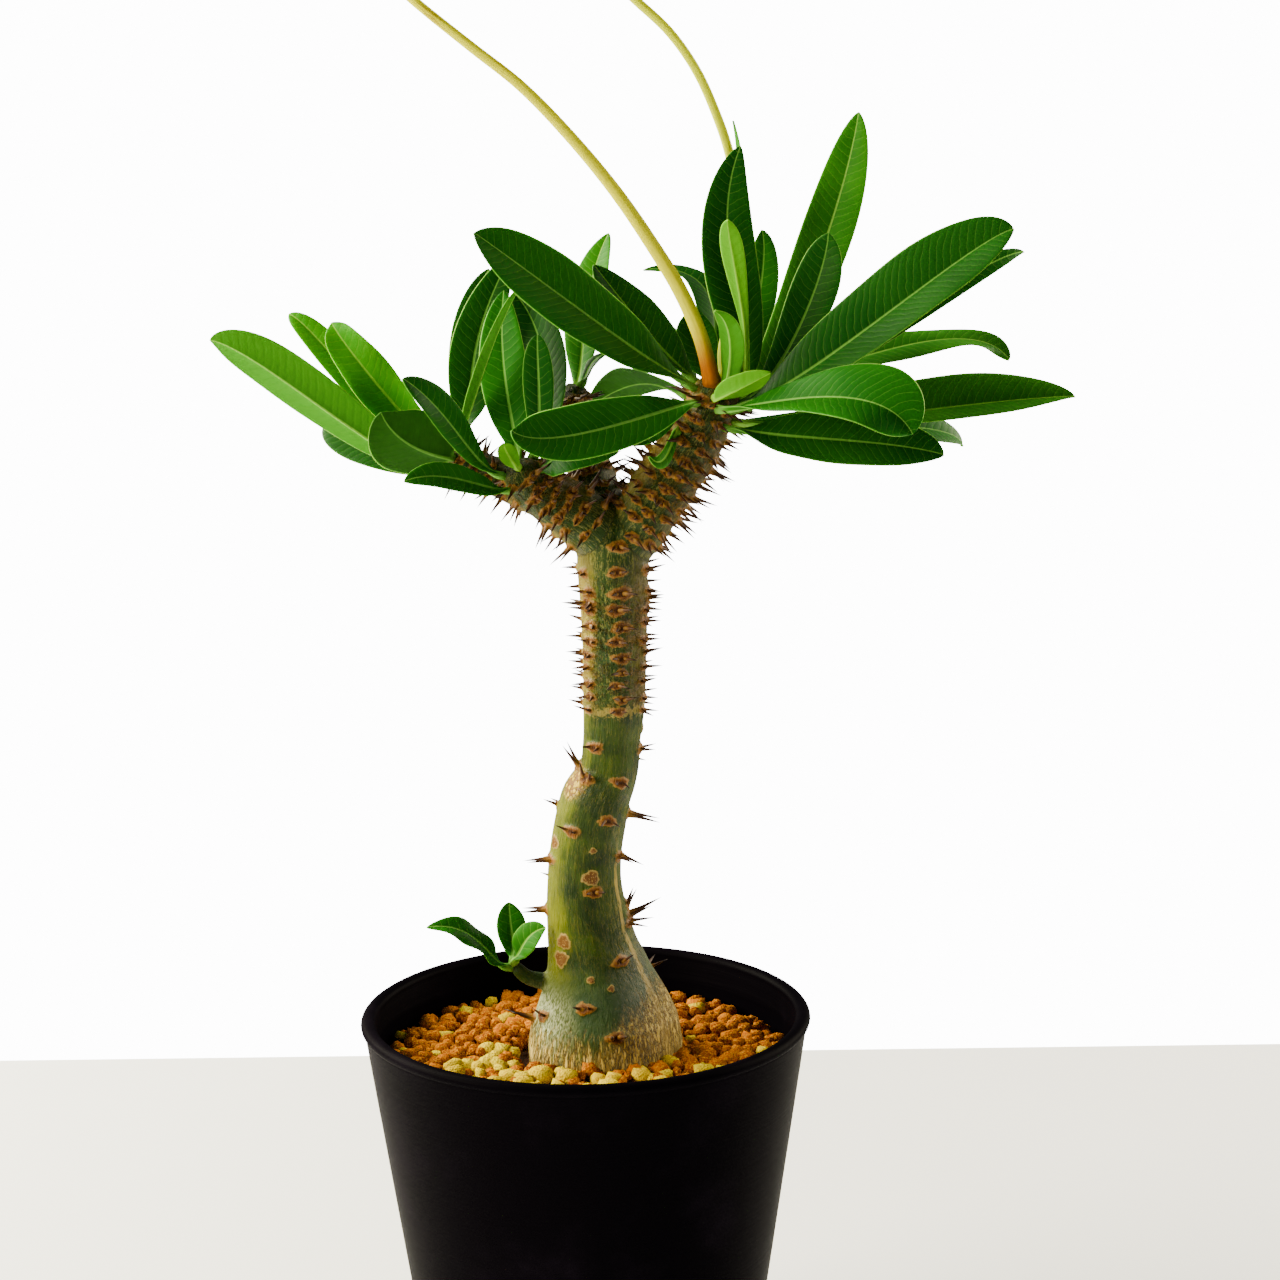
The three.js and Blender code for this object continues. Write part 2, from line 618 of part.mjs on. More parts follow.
// The hole that the buried foot stands in: the trunk's own sections, wider by more than the seat gap
// because the flat sides of both cut the corner, and deeper at the bottom.
function footHole() {
  const [bottom, ...rest] = TRUNK.map(([x, y, z, radius]) => [x, y, z, radius * 1.03 + SEAT_GAP]);
  const deeper = [bottom[0], bottom[1], bottom[2] - 2, bottom[3]];
  return limbSolid([deeper, ...rest], TRUNK_SIDES, TRUNK_STEP, FURROW_DEPTH);
}

// The largest body of a cut solid, without the scraps that the cut left loose.
function withoutScraps(solid) {
  return solid.decompose().sort((a, b) => b.volume() - a.volume())[0];
}

function gritLevel(spread) {
  return lerp(GRIT_MIDDLE_HEIGHT, GRIT_EDGE_HEIGHT, (spread - GRAIN_RING[0]) / (RIM_RADIUS - GRAIN_RING[0]));
}

function gritGeometry() {
  const random = seededRandom(5);
  const wallGap = WALL + 2 * SEAT_GAP;
  const bottom = FLOOR_TOP + SEAT_GAP;
  const neckBottom = POT_HEIGHT - NECK_BOTTOM_DEPTH;
  const filling = [
    [0, bottom],
    [potWallRadius(bottom) - wallGap, bottom],
    [potWallRadius(neckBottom) - wallGap, neckBottom],
    [potWallRadius(GRIT_EDGE_HEIGHT) - wallGap - 1, GRIT_EDGE_HEIGHT],
    [GRAIN_RING[0], GRIT_MIDDLE_HEIGHT],
    [0, GRIT_MIDDLE_HEIGHT],
  ];
  let grit = solidOf(turned(filling, GRIT_SIDES));
  for (let i = 0; i < GRAIN_COUNT; i++) {
    const spread = Math.sqrt(lerp(GRAIN_RING[0] ** 2, GRAIN_RING[1] ** 2, (i + 0.5) / GRAIN_COUNT));
    const place = compass(GOLDEN_ANGLE * (i + 0.06 * random())).multiplyScalar(spread);
    const grain = new THREE.OctahedronGeometry(between(GRAIN_RADIUS, random()), 0);
    for (const turn of ["rotateX", "rotateY", "rotateZ"]) grain[turn](2 * Math.PI * random());
    grain.translate(place.x, place.y, gritLevel(spread) + GRAIN_RISE * random());
    grit = grit.add(solidOf(grain));
  }
  return geometryOf(withoutScraps(grit.subtract(footHole())));
}

// Flower stalks and their closed buds

// A stalk leaves the head square to its surface.
function stalkLine({ foot: [angle, below], points, radii }) {
  const { seat, normal } = seatOn(RIGHT_LIMB, angle, below, SEAT_GAP);
  const leaving = seat.clone().addScaledVector(normal, radii[0]);
  return new THREE.CatmullRomCurve3([seat, leaving, ...points.map(vector)], false, "centripetal");
}

function stalkGeometry(stalk) {
  const line = stalkLine(stalk);
  const rings = Array.from({ length: STALK_STEPS + 1 }, (_, i) => {
    const share = i / STALK_STEPS;
    const radius = between(stalk.radii, share);
    const axis = line.getTangentAt(share);
    return ringAbout(line.getPointAt(share), axis, compass(180), STALK_SIDES, () => radius);
  });
  return closedTube(line.getPointAt(0), rings, line.getPointAt(1));
}

// A bud on its short stem, standing along +Z from the origin.
function budGeometry(length) {
  const stem = BUD_STEM_SHARE * length;
  const profile = [
    [0, 0],
    [BUD_STEM_RADIUS, 0],
    [BUD_STEM_RADIUS, stem],
    [0.9 * BUD_RADIUS, stem + BUD_STEM_RADIUS],
    [BUD_RADIUS, 0.65 * length],
    [0.55 * BUD_RADIUS, 0.9 * length],
    [0, length],
  ];
  return turned(profile, BUD_SIDES);
}

function budHeadGeometry({ points }, seed) {
  const random = seededRandom(seed);
  const end = vector(points.at(-1));
  const axis = end.clone().sub(vector(points.at(-2))).normalize();
  const centre = end.clone().addScaledVector(axis, CYME_KNOB_RADIUS + SEAT_GAP);
  const knob = new THREE.IcosahedronGeometry(CYME_KNOB_RADIUS, 0);
  let head = solidOf(knob.translate(centre.x, centre.y, centre.z));
  for (let i = 0; i < BUD_COUNT; i++) {
    const lean = i === 0 ? 0 : radians(between(BUD_LEAN, random()));
    const around = squareTo(compass((360 * i) / (BUD_COUNT - 1) + 20 * random()), axis);
    const direction = axis.clone().multiplyScalar(Math.cos(lean)).addScaledVector(around, Math.sin(lean));
    const turn = new THREE.Quaternion().setFromUnitVectors(new THREE.Vector3(0, 0, 1), direction);
    const bud = budGeometry(between(BUD_LENGTH, random()));
    bud.applyQuaternion(turn).translate(centre.x, centre.y, centre.z);
    head = head.add(solidOf(bud));
  }
  return geometryOf(head);
}

// The whole plant

// The corners of a leaf and the points half way to the next station.
function pointsOn(geometry) {
  const positions = geometry.getAttribute("position");
  const corner = (_, i) => new THREE.Vector3().fromBufferAttribute(positions, i);
  const corners = Array.from({ length: positions.count }, corner);
  const halfway = corners.slice(STATION_CORNERS).map((point, i) => point.clone().lerp(corners[i], 0.5));
  return [...corners, ...halfway];
}

const plant = new THREE.Group();
const keptClear = [];
for (const leaf of LEAVES) {
  const geometry = leafGeometry(leaf);
  keptClear.push(...pointsOn(geometry));
  plant.add(named(leaf[0], geometry, "leaf"));
}
for (const stalk of [FRONT_STALK, BACK_STALK]) {
  keptClear.push(...stalkLine(stalk).getPoints(STALK_CLEAR_POINTS));
}
plant.add(named("pot", potGeometry(), "pot"));
plant.add(named("substrate", gritGeometry(), "grit"));
plant.add(named("trunk", trunkGeometry(keptClear), "bark"));
plant.add(named("flower_stalk_front", stalkGeometry(FRONT_STALK), "stalk"));
plant.add(named("flower_stalk_back", stalkGeometry(BACK_STALK), "stalk"));
plant.add(named("flower_buds_front", budHeadGeometry(FRONT_STALK, 3), "bud"));
plant.add(named("flower_buds_back", budHeadGeometry(BACK_STALK, 4), "bud"));

export default plant;
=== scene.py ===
# %% [markdown]
# A potted spiny succulent, dressed for its portrait
#
# The plant is a young caudex succulent in a black nursery pot: a swollen foot in orange grit, a bent green
# stem, forked limbs bristling with spines, a head of glossy leaves on each limb and two long flower stalks.
# Its solids are already built and fixed in place. This lesson gives each of them a finer skin of the same
# form, with veins, cushions, spines, grains and colour. It starts by loading the solids and noting their
# box, because nothing made here may reach far outside it.

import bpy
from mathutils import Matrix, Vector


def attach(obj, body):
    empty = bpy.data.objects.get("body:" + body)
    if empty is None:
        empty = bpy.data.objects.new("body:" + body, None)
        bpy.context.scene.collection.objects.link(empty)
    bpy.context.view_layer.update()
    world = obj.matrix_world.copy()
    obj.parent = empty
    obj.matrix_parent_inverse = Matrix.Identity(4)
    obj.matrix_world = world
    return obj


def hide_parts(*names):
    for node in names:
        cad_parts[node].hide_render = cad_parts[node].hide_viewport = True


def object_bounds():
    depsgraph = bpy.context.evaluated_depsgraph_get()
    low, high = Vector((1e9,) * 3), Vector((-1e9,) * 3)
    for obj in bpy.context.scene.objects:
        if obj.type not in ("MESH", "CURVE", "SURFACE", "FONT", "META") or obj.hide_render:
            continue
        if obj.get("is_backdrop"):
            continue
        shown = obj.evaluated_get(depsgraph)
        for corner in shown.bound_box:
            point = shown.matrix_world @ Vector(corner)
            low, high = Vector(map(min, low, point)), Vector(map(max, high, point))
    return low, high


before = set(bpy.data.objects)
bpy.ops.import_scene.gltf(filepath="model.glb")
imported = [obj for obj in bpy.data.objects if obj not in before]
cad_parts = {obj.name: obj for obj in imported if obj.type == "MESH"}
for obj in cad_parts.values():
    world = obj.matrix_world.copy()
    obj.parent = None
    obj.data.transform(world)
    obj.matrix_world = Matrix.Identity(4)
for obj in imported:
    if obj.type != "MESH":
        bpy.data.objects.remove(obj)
cad_box = [list(corner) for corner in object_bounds()]
print("CAD box in metres:", cad_box)

# %% [markdown]
# Everything below is measured in millimetres, like the plant's own drawing, and turned into metres once,
# when a piece is finished. Random draws come from one small generator that gives the same numbers on every
# run, so that each bud lies where its solid lies.

# %% Tools of the lesson
import math

import bmesh
import bpy
import numpy as np
from mathutils import Matrix, Vector

MM = 0.001
WORD = 0xFFFFFFFF


def draws(seed):
    """Endless evenly spread numbers from 0 to 1."""
    state = seed
    while True:
        state = (state + 0x6D2B79F5) & WORD
        mixed = ((state ^ (state >> 15)) * (1 | state)) & WORD
        mixed = ((mixed + (((mixed ^ (mixed >> 7)) * (61 | mixed)) & WORD)) ^ mixed) & WORD
        yield (mixed ^ (mixed >> 14)) / 4294967296


def lerp(low, high, share):
    return low + (high - low) * share


def smoothstep(value, low, high):
    share = np.clip((value - low) / (high - low), 0, 1)
    return share * share * (3 - 2 * share)


def unit(vector):
    return vector / np.linalg.norm(vector)


def square_to(vector, axis):
    """The direction nearest to a vector that is square to an axis."""
    return unit(vector - np.dot(vector, axis) * axis)


def compass(degrees):
    """A level direction: 0 is the front of the plant and 90 its right side."""
    angle = math.radians(degrees)
    return np.array([math.sin(angle), -math.cos(angle), 0.0])


def round_axis(axis, start, angle):
    """The direction square to an axis that lies at an angle round it from a starting direction."""
    side = square_to(start, axis)
    return math.cos(angle) * side + math.sin(angle) * np.cross(axis, side)


def turned_to(direction):
    """The turn that points +Z in a direction."""
    return Vector(direction).to_track_quat("Z", "Y").to_matrix().to_4x4()


def grid(bm, across, along):
    """A grid of faces, as a list of its corners with their shares across and along, from 0 to 1."""
    made = bmesh.ops.create_grid(bm, x_segments=across, y_segments=along, size=0.5)
    return [(vert, vert.co.x + 0.5, vert.co.y + 0.5) for vert in made["verts"]]


def close(bm):
    """Merges corners that meet, and turns all faces outwards."""
    bmesh.ops.remove_doubles(bm, verts=bm.verts, dist=0.001)
    bmesh.ops.recalc_face_normals(bm, faces=bm.faces)


def mesh_of(bm, name):
    mesh = bpy.data.meshes.new(name)
    bm.to_mesh(mesh)
    bm.free()
    return mesh


def added(name, data):
    """A new object in the scene."""
    made = bpy.data.objects.new(name, data)
    bpy.context.scene.collection.objects.link(made)
    return made


def baked(made):
    """The mesh of an object as its modifiers leave it."""
    bpy.context.view_layer.update()
    evaluated = made.evaluated_get(bpy.context.evaluated_depsgraph_get())
    return bpy.data.meshes.new_from_object(evaluated)


def finished(name, bm, finish, slot, *nodes):
    """Makes a piece in metres from a bmesh in millimetres, and hides the solids that it stands for."""
    bmesh.ops.scale(bm, vec=(MM, MM, MM), verts=bm.verts)
    made = added(name, mesh_of(bm, name))
    made.data.materials.append(finish)
    made.data.shade_smooth()
    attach(made, "root")
    if nodes:
        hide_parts(*nodes)
    return made


# %% [markdown]
# The camera stands where the photographer stood: a little above the leaves, looking down eleven degrees
# from three quarters of a metre away, with a portrait lens. The photograph leans by less than a degree, so
# the camera does too. Depth of field stays off, because the other views move this same camera.

# %% Camera
CAMERA_PLACE = (15.8, -716.3, 358.4)
CAMERA_DOWN = 11.05
CAMERA_LEAN = 0.75
CAMERA_LENS = 78.75
SENSOR_WIDTH = 36


def add_camera():
    data = bpy.data.cameras.new("portrait")
    data.lens = CAMERA_LENS
    data.sensor_width = SENSOR_WIDTH
    camera = added("portrait", data)
    down = Matrix.Rotation(math.radians(90 - CAMERA_DOWN), 4, "X")
    lean = Matrix.Rotation(math.radians(-CAMERA_LEAN), 4, "Z")
    camera.matrix_world = Matrix.Translation(Vector(CAMERA_PLACE) * MM) @ down @ lean
    bpy.context.scene.camera = camera


add_camera()

# %% [markdown]
# Light decides how leaves look. The photograph has a bright window behind the plant's left shoulder, which
# makes thin leaves glow, a wall on the right that sends some of it back, and soft light from the front left
# that draws a highlight down the stem. Large area lights give the same soft edges. The sky is dim where it
# lights the plant, so that shadows stay deep, and bright where the camera sees it, which gives the white
# backdrop.

# %% Light
# Name, place, width in mm, watts and colour
LIGHTS = [
    ("window", (-700, 400, 640), 600, 40, (1.0, 0.93, 0.7)),
    ("right_wall", (760, 420, 460), 600, 18, (1.0, 0.88, 0.66)),
    ("front_left", (-900, -330, 560), 500, 24, (1.0, 0.9, 0.62)),
]
LOOK_AT = (10, 0, 240)
SKY_LIGHT = 0.25
SKY_SEEN = 14.0


def add_light(name, place, width, watts, tint):
    data = bpy.data.lights.new(name, "AREA")
    data.size = width * MM
    data.energy = watts
    data.color = tint
    light = added(name, data)
    light.location = Vector(place) * MM
    light.visible_camera = False
    towards = (Vector(LOOK_AT) - Vector(place)).normalized()
    light.rotation_euler = towards.to_track_quat("-Z", "Y").to_euler()


def add_sky():
    sky = bpy.data.worlds.new("sky")
    sky.use_nodes = True
    nodes, links = sky.node_tree.nodes, sky.node_tree.links
    seen = nodes.new("ShaderNodeLightPath").outputs["Is Camera Ray"]
    strength = nodes.new("ShaderNodeMapRange")
    strength.inputs["To Min"].default_value = SKY_LIGHT
    strength.inputs["To Max"].default_value = SKY_SEEN
    links.new(seen, strength.inputs["Value"])
    background = nodes["Background"]
    background.inputs["Color"].default_value = (1, 1, 1, 1)
    links.new(strength.outputs["Result"], background.inputs["Strength"])
    bpy.context.scene.world = sky


for row in LIGHTS:
    add_light(*row)
add_sky()
print("lights:", [row[0] for row in LIGHTS])

# %% [markdown]
# Each finish is a small network of nodes. Writing one socket at a time is tedious, so this helper names the
# few kinds of node that the finishes need: sums, blends, steps and noise. Most of a finish is coats, laid
# one over the other: a base, a mask that says where the coat lies, its colour, and the most that it may
# cover. Patterns read the object's own coordinates, scaled to millimetres, or an attribute that was stored
# on the mesh when it was made.

# %% A short hand for nodes
class Wiring:
    """Adds nodes to one tree and links them. A value is either a number or another node's socket."""

    def __init__(self, tree):
        self.tree = tree

    def feed(self, socket, value):
        if isinstance(value, bpy.types.NodeSocket):
            self.tree.links.new(value, socket)
        else:
            socket.default_value = value

    def node(self, kind, values=(), **settings):
        made = self.tree.nodes.new("ShaderNode" + kind)
        for name, value in settings.items():
            setattr(made, name, value)
        for name, value in dict(values).items():
            self.feed(made.inputs[name], value)
        return made

    def math(self, operation, *values):
        values = dict(enumerate(values))
        return self.node("Math", values, operation=operation).outputs[0]

    def plus(self, first, second):
        return self.math("ADD", first, second)

    def minus(self, first, second):
        return self.math("SUBTRACT", first, second)

    def times(self, product, *others):
        for other in others:
            product = self.math("MULTIPLY", product, other)
        return product

    def larger(self, first, second):
        return self.math("MAXIMUM", first, second)

    def size_of(self, value):
        return self.math("ABSOLUTE", value)

    def swing(self, noise, reach):
        """A noise turned into an offset to either side of 0."""
        return self.times(self.minus(noise, 0.5), reach)

    def blend(self, share, first, second):
        """A colour between two colours."""
        return self.node("Mix", {0: share, 6: first, 7: second}, data_type="RGBA").outputs[2]

    def coat(self, base, mask, tint, most):
        """A base with a colour over it where a mask is 1, covering it at most so far."""
        return self.blend(self.times(mask, most), base, tint)

    def step(self, value, low, high):
        """A soft step: 0 below low and 1 above high, or the other way round where low is the larger."""
        values = {0: value, 1: min(low, high), 2: max(low, high)}
        if low > high:
            values.update({3: 1.0, 4: 0.0})
        return self.node("MapRange", values, interpolation_type="SMOOTHSTEP").outputs[0]

    def line(self, noise, edge, core):
        """Thin winding lines, where a noise passes its middle."""
        return self.step(self.size_of(self.minus(noise, 0.5)), edge, core)

    def place(self, stretch=(1.0, 1.0, 1.0)):
        """Object coordinates in millimetres, stretched along an axis where the pattern is."""
        where = self.node("TexCoord").outputs["Object"]
        return self.stretched(where, tuple(part / MM for part in stretch))

    def stretched(self, where, scale):
        return self.node("Mapping", {"Vector": where, "Scale": scale}).outputs[0]

    def parts(self, vector):
        return self.node("SeparateXYZ", {0: vector}).outputs

    def apart(self, where, point):
        """The distance from a point."""
        values = {0: where, 1: tuple(point)}
        return self.node("VectorMath", values, operation="DISTANCE").outputs["Value"]

    def attribute(self, name):
        """A vector attribute, and its three numbers."""
        vector = self.node("Attribute", attribute_name=name).outputs["Vector"]
        return vector, self.parts(vector)

    def noise(self, where, scale, detail=2.0, roughness=0.5):
        values = {"Vector": where, "Scale": scale, "Detail": detail, "Roughness": roughness}
        return self.node("TexNoise", values).outputs["Fac"]

    def cells(self, where, scale):
        return self.node("TexVoronoi", {"Vector": where, "Scale": scale}).outputs["Distance"]

    def bump(self, height, distance):
        return self.node("Bump", {"Height": height, "Distance": distance * MM}).outputs[0]


def new_finish(name, specular=0.5):
    """A material, the short hand for its nodes, and its shader."""
    material = bpy.data.materials.new(name)
    material.use_nodes = True
    shader = material.node_tree.nodes["Principled BSDF"]
    shader.inputs["Specular IOR Level"].default_value = specular
    return material, Wiring(material.node_tree), shader


def dress(wiring, shader, base, rough, height, distance):
    """Feeds a shader its colour, its roughness and the bump of a height field."""
    wiring.feed(shader.inputs["Base Color"], base)
    wiring.feed(shader.inputs["Roughness"], rough)
    wiring.feed(shader.inputs["Normal"], wiring.bump(height, distance))


def glow(shader, weight, radius, depth):
    """Lets light into a skin: how much of it, how far each colour goes, and the scale of that in mm."""
    shader.inputs["Subsurface Weight"].default_value = weight
    shader.inputs["Subsurface Radius"].default_value = radius
    shader.inputs["Subsurface Scale"].default_value = depth * MM


def colour(red, green, blue):
    return (red, green, blue, 1.0)


# %% [markdown]
# The floor is one large pale sheet that ends a little way behind the pot, where the photograph shows the
# edge of a table. It isn't part of the plant, so it is marked as stage.

# %% Floor
FLOOR_WIDTH = 5000
FLOOR_FRONT = -2600
FLOOR_BACK = 300


def add_floor():
    material, wiring, shader = new_finish("pale_floor")
    grain = wiring.noise(wiring.place(), 0.02, 3.0)
    base = wiring.blend(grain, colour(0.9, 0.92, 0.96), colour(0.94, 0.96, 1.0))
    wiring.feed(shader.inputs["Base Color"], base)
    shader.inputs["Roughness"].default_value = 0.6
    bm = bmesh.new()
    half_wide, half_deep = FLOOR_WIDTH / 2, (FLOOR_BACK - FLOOR_FRONT) / 2
    middle = Vector((0, (FLOOR_BACK + FLOOR_FRONT) / 2, 0))
    for vert in bmesh.ops.create_grid(bm, x_segments=1, y_segments=1, size=1)["verts"]:
        vert.co = (Vector((vert.co.x * half_wide, vert.co.y * half_deep, 0)) + middle) * MM
    floor = added("floor", mesh_of(bm, "floor"))
    floor.data.materials.append(material)
    floor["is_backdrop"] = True


add_floor()

# %% [markdown]
# Limbs, stalks and leaves all follow smooth lines through a few points. The solids use a centripetal
# Catmull-Rom curve, which passes every point without loops, so the same curve is written out here. It is
# read by the share of its length, because rings of a skin should be evenly spaced.

# %% Centre lines
class CentreLine:
    """A smooth curve through points, in millimetres."""

    STEPS = 200
    SHORT = 1e-4

    def __init__(self, points):
        self.points = np.array(points, float)
        self.places = np.linspace(0, 1, self.STEPS + 1)
        spots = np.array([self.spot(place) for place in self.places])
        lengths = np.linalg.norm(np.diff(spots, axis=0), axis=1)
        self.reached = np.concatenate([[0], np.cumsum(lengths)])
        self.length = self.reached[-1]

    def gap(self, start, end):
        return np.linalg.norm(end - start) ** 0.5

    def slope(self, before, here, after):
        """How the curve runs through a point between two others."""
        first, second = self.gap(before, here), self.gap(here, after)
        return (here - before) / first - (after - before) / (first + second) + (after - here) / second

    def spot(self, place):
        points, last = self.points, len(self.points) - 1
        before = min(int(place * last), last - 1)
        share = place * last - before
        second, third = points[before], points[before + 1]
        first = points[before - 1] if before else 2 * second - third
        fourth = points[before + 2] if before + 2 <= last else 2 * third - second
        gap = self.gap(second, third)
        leave = gap * self.slope(first, second, third)
        arrive = gap * self.slope(second, third, fourth)
        squared = 3 * (third - second) - 2 * leave - arrive
        cubed = 2 * (second - third) + leave + arrive
        return second + leave * share + squared * share**2 + cubed * share**3

    def place(self, share):
        return float(np.interp(share * self.length, self.reached, self.places))

    def point(self, share):
        return self.spot(self.place(share))

    def direction(self, share):
        place = self.place(share)
        return unit(self.spot(min(place + self.SHORT, 1)) - self.spot(max(place - self.SHORT, 0)))


# %% [markdown]
# The trunk and its limbs grew as one piece, so they share one skin. Each limb is a list of sections from
# its root to its tip: where the centre is, and how thick the limb is there. A limb ends in a small dome.
# The function below gives the centre, direction and radius at any distance below a limb's tip, and
# everything that grows from a limb asks it for a seat.

# %% Limbs
LIMBS = {
    "trunk": [
        (4.7, 0, 80, 8), (4.7, 0, 90, 15.5), (4.7, 0, 100, 20.4), (4.8, 0, 109, 20.8), (4.7, 0, 116, 19.6),
        (4.2, 0, 122.5, 17), (3.4, 0, 129, 14), (2.2, 0, 136, 12), (1, 0, 144, 10.8), (0.4, 0, 154, 9.8),
        (0.9, 0, 162, 9.5), (2.2, 0, 170, 9.4), (3.6, 0, 176, 9.2), (7, 0, 183.5, 7.7), (7.9, 0, 192, 7.5),
        (8.6, 0, 201, 8.1), (9.1, 0, 215, 8.3), (9.2, 0, 229, 8.8), (9.1, 0, 240, 9.3), (9.6, 0, 248, 8.8),
    ],
    "right": [
        (10.5, 0, 242, 7.8), (17, -0.5, 251, 7.9), (21.5, -1.2, 258, 8), (26.2, -2.2, 265, 8),
        (30.8, -3.2, 272, 7.5), (34.4, -4.2, 279, 6.4), (37.6, -5, 287, 5.8),
    ],
    "left": [
        (8, 0, 245, 8.2), (0, -1.5, 252, 7.7), (-6.5, -3, 256.5, 6.8), (-11.5, -5, 260, 5.6),
        (-15.5, -7, 267, 4.4),
    ],
    "far_left": [
        (-5, -1, 255.5, 6.4), (-13.3, 1, 259, 6), (-20, 3, 261.3, 5.2), (-27.4, 5, 264, 4.4),
        (-33, 6, 268.5, 4),
    ],
    "back": [
        (8, 1, 246, 7.4), (5.5, 6, 254.5, 6.6), (3, 9.5, 263, 5.9), (0.8, 12, 272, 5), (-2, 14, 284.5, 4.3),
    ],
    "shoot": [(-10, -2, 126.5, 2.4), (-15.5, -3.4, 128.5, 2), (-19.5, -4, 133, 1.7)],
}
DOME = 3.5
LINES = {name: CentreLine([section[:3] for section in sections]) for name, sections in LIMBS.items()}


def limb_at(limb, below):
    """The centre, direction, radius and slope of a limb's surface, at a distance below its tip."""
    line, sections = LINES[limb], LIMBS[limb]
    share = np.clip(1 - below / line.length, 0, 1)
    place = line.place(share) * (len(sections) - 1)
    before = min(int(place), len(sections) - 2)
    rise = max(0.0, 1 - below / DOME)
    level = math.sqrt(1 - min(rise, 1) ** 2)
    radius = level * lerp(sections[before][3], sections[before + 1][3], place - before)
    return line.point(share), line.direction(share), radius, rise, level


def seat_on(limb, angle, below, gap):
    """The point clear by a gap of a limb, the way out from it, the limb's direction and the surface's."""
    point, axis, radius, rise, level = limb_at(limb, below)
    outward = square_to(compass(angle), axis)
    normal = level * outward + rise * axis
    return point + outward * radius + normal * gap, outward, axis, normal


print("limb lengths in mm:", {name: round(line.length) for name, line in LINES.items()})

# %% [markdown]
# Spines grow in twos from small raised cushions. On the young wood the cushions stand in rows, closely
# packed; on the old trunk only a few are left, each listed where the photograph shows it, and some are
# bare scars. The list of cushions is made first, because the bark swells under each of them and takes its
# colour from them.

# %% Where the cushions are
# A band of cushions: its limb, how far below the tip it begins and ends, and its rows and columns
BANDS = [
    {"limb": "trunk", "from": 3.5, "to": 47, "rows": 11, "columns": 6, "length": (3.8, 5.4)},
    {"limb": "right", "from": 6.5, "to": 46, "rows": 11, "columns": 9, "length": (5.2, 7.8)},
    {"limb": "left", "from": 4.5, "to": 26, "rows": 6, "columns": 8, "length": (5.0, 7.4)},
    {"limb": "far_left", "from": 5, "to": 28, "rows": 6, "columns": 7, "length": (4.8, 7.4)},
    {"limb": "back", "from": 5, "to": 30, "rows": 6, "columns": 8, "length": (4.4, 6.4)},
]
TRUNK_TURN = 9
TRUNK_CROWDING = 0.8
BELOW_SHAKE = 1.2
ANGLE_SHAKE = 14
RISE_SHAKE = 24
# Cushions of the old trunk: compass angle, height, length of the spines, their rise in degrees
OLD_CUSHIONS = [
    (-34, 191.3, 4.2, 5), (26, 183.4, 3.0, -8), (26, 173, 4.0, -20), (-30, 168.9, 4.4, 20),
    (-42, 181.1, 5.2, 48), (-86, 183, 7.2, 42), (-74, 159.9, 8.2, -6), (66, 162.9, 7.0, -10),
    (14, 153.2, 6.4, 14), (-86, 147.4, 8.6, 2), (90, 174.6, 9.6, 6), (34, 133.6, 4.6, 30),
    (86, 143.5, 9.2, 24), (74, 142, 7.4, -8), (92, 146.5, 5.4, 58), (88, 190.5, 5.2, 8),
    (10, 116.6, 8.4, 24), (-78, 118.5, 9.0, 30), (-14, 124, 3.2, 35), (-60, 121, 4.0, 40),
    (150, 168, 6, 5), (-140, 153, 6.5, 0), (175, 140, 7, 5), (-160, 182, 4.5, 10),
    (120, 126, 6, 12), (-115, 172, 5, 8), (135, 187, 4.2, -6), (-48, 229.6, 5.6, -4),
    (84, 230.2, 5.2, 6),
]
# Scars that have lost their spines: compass angle, height, width
SCARS = [
    (-38, 140.8, 2.4), (-45, 136.3, 2.5), (10, 157.6, 2.4), (-66, 164.3, 2.1), (14, 127.9, 1.0),
    (-6, 131.1, 1.1), (10, 165, 1.0), (170, 160, 1.9), (130, 150, 1.9), (-120, 135, 2.0),
    (-150, 170, 1.8), (95, 196, 1.5), (-170, 125, 1.9), (140, 178, 1.7),
]
CUSHION_WIDTH = 1.35
WIDTH_DRAW = (0.8, 1.25)
TRUNK_WIDER = (1.4, 0.85)
OLD_CUSHION_WIDER = 1.3
SCAN_STEP = 2.5
WELL_INSIDE = 0.97


def below_at_height(height):
    """The distance below the trunk's tip at which its centre is at a height."""
    below = 0.0
    while limb_at("trunk", below)[0][2] > height:
        below += 0.5
    return below


def young_cushions(draw):
    """Rows of limb, angle, distance below the tip, length and rise of spines, and width of the cushion."""
    rows = []
    for band in BANDS:
        on_trunk = band["limb"] == "trunk"
        for row in range(band["rows"]):
            down = row / (band["rows"] - 1)
            for column in range(band["columns"]):
                spot = down**TRUNK_CROWDING if on_trunk else down
                below = lerp(band["from"], band["to"], spot) + BELOW_SHAKE * (next(draw) - 0.5)
                turn = (column + (0 if on_trunk else 0.5 * (row % 2))) / band["columns"]
                angle = 360 * turn + ANGLE_SHAKE * (next(draw) - 0.5) + (TRUNK_TURN if on_trunk else 0)
                length = lerp(*band["length"], next(draw))
                width = CUSHION_WIDTH * lerp(*WIDTH_DRAW, next(draw))
                width *= lerp(*TRUNK_WIDER, down) if on_trunk else 1
                rise = RISE_SHAKE * (next(draw) - 0.4)
                rows.append((band["limb"], angle, below, length, rise, width))
    return rows


def old_cushions():
    return [
        ("trunk", angle, below_at_height(height), length, rise, CUSHION_WIDTH * OLD_CUSHION_WIDER)
        for angle, height, length, rise in OLD_CUSHIONS
    ]


def inside_another_limb(point, own):
    """True where a point on one limb's surface lies inside the wood of another."""
    for limb, line in LINES.items():
        if limb == own:
            continue
        for below in np.arange(0, line.length, SCAN_STEP):
            centre, _, radius, _, _ = limb_at(limb, below)
            if np.linalg.norm(centre - point) < radius * WELL_INSIDE:
                return True
    return False


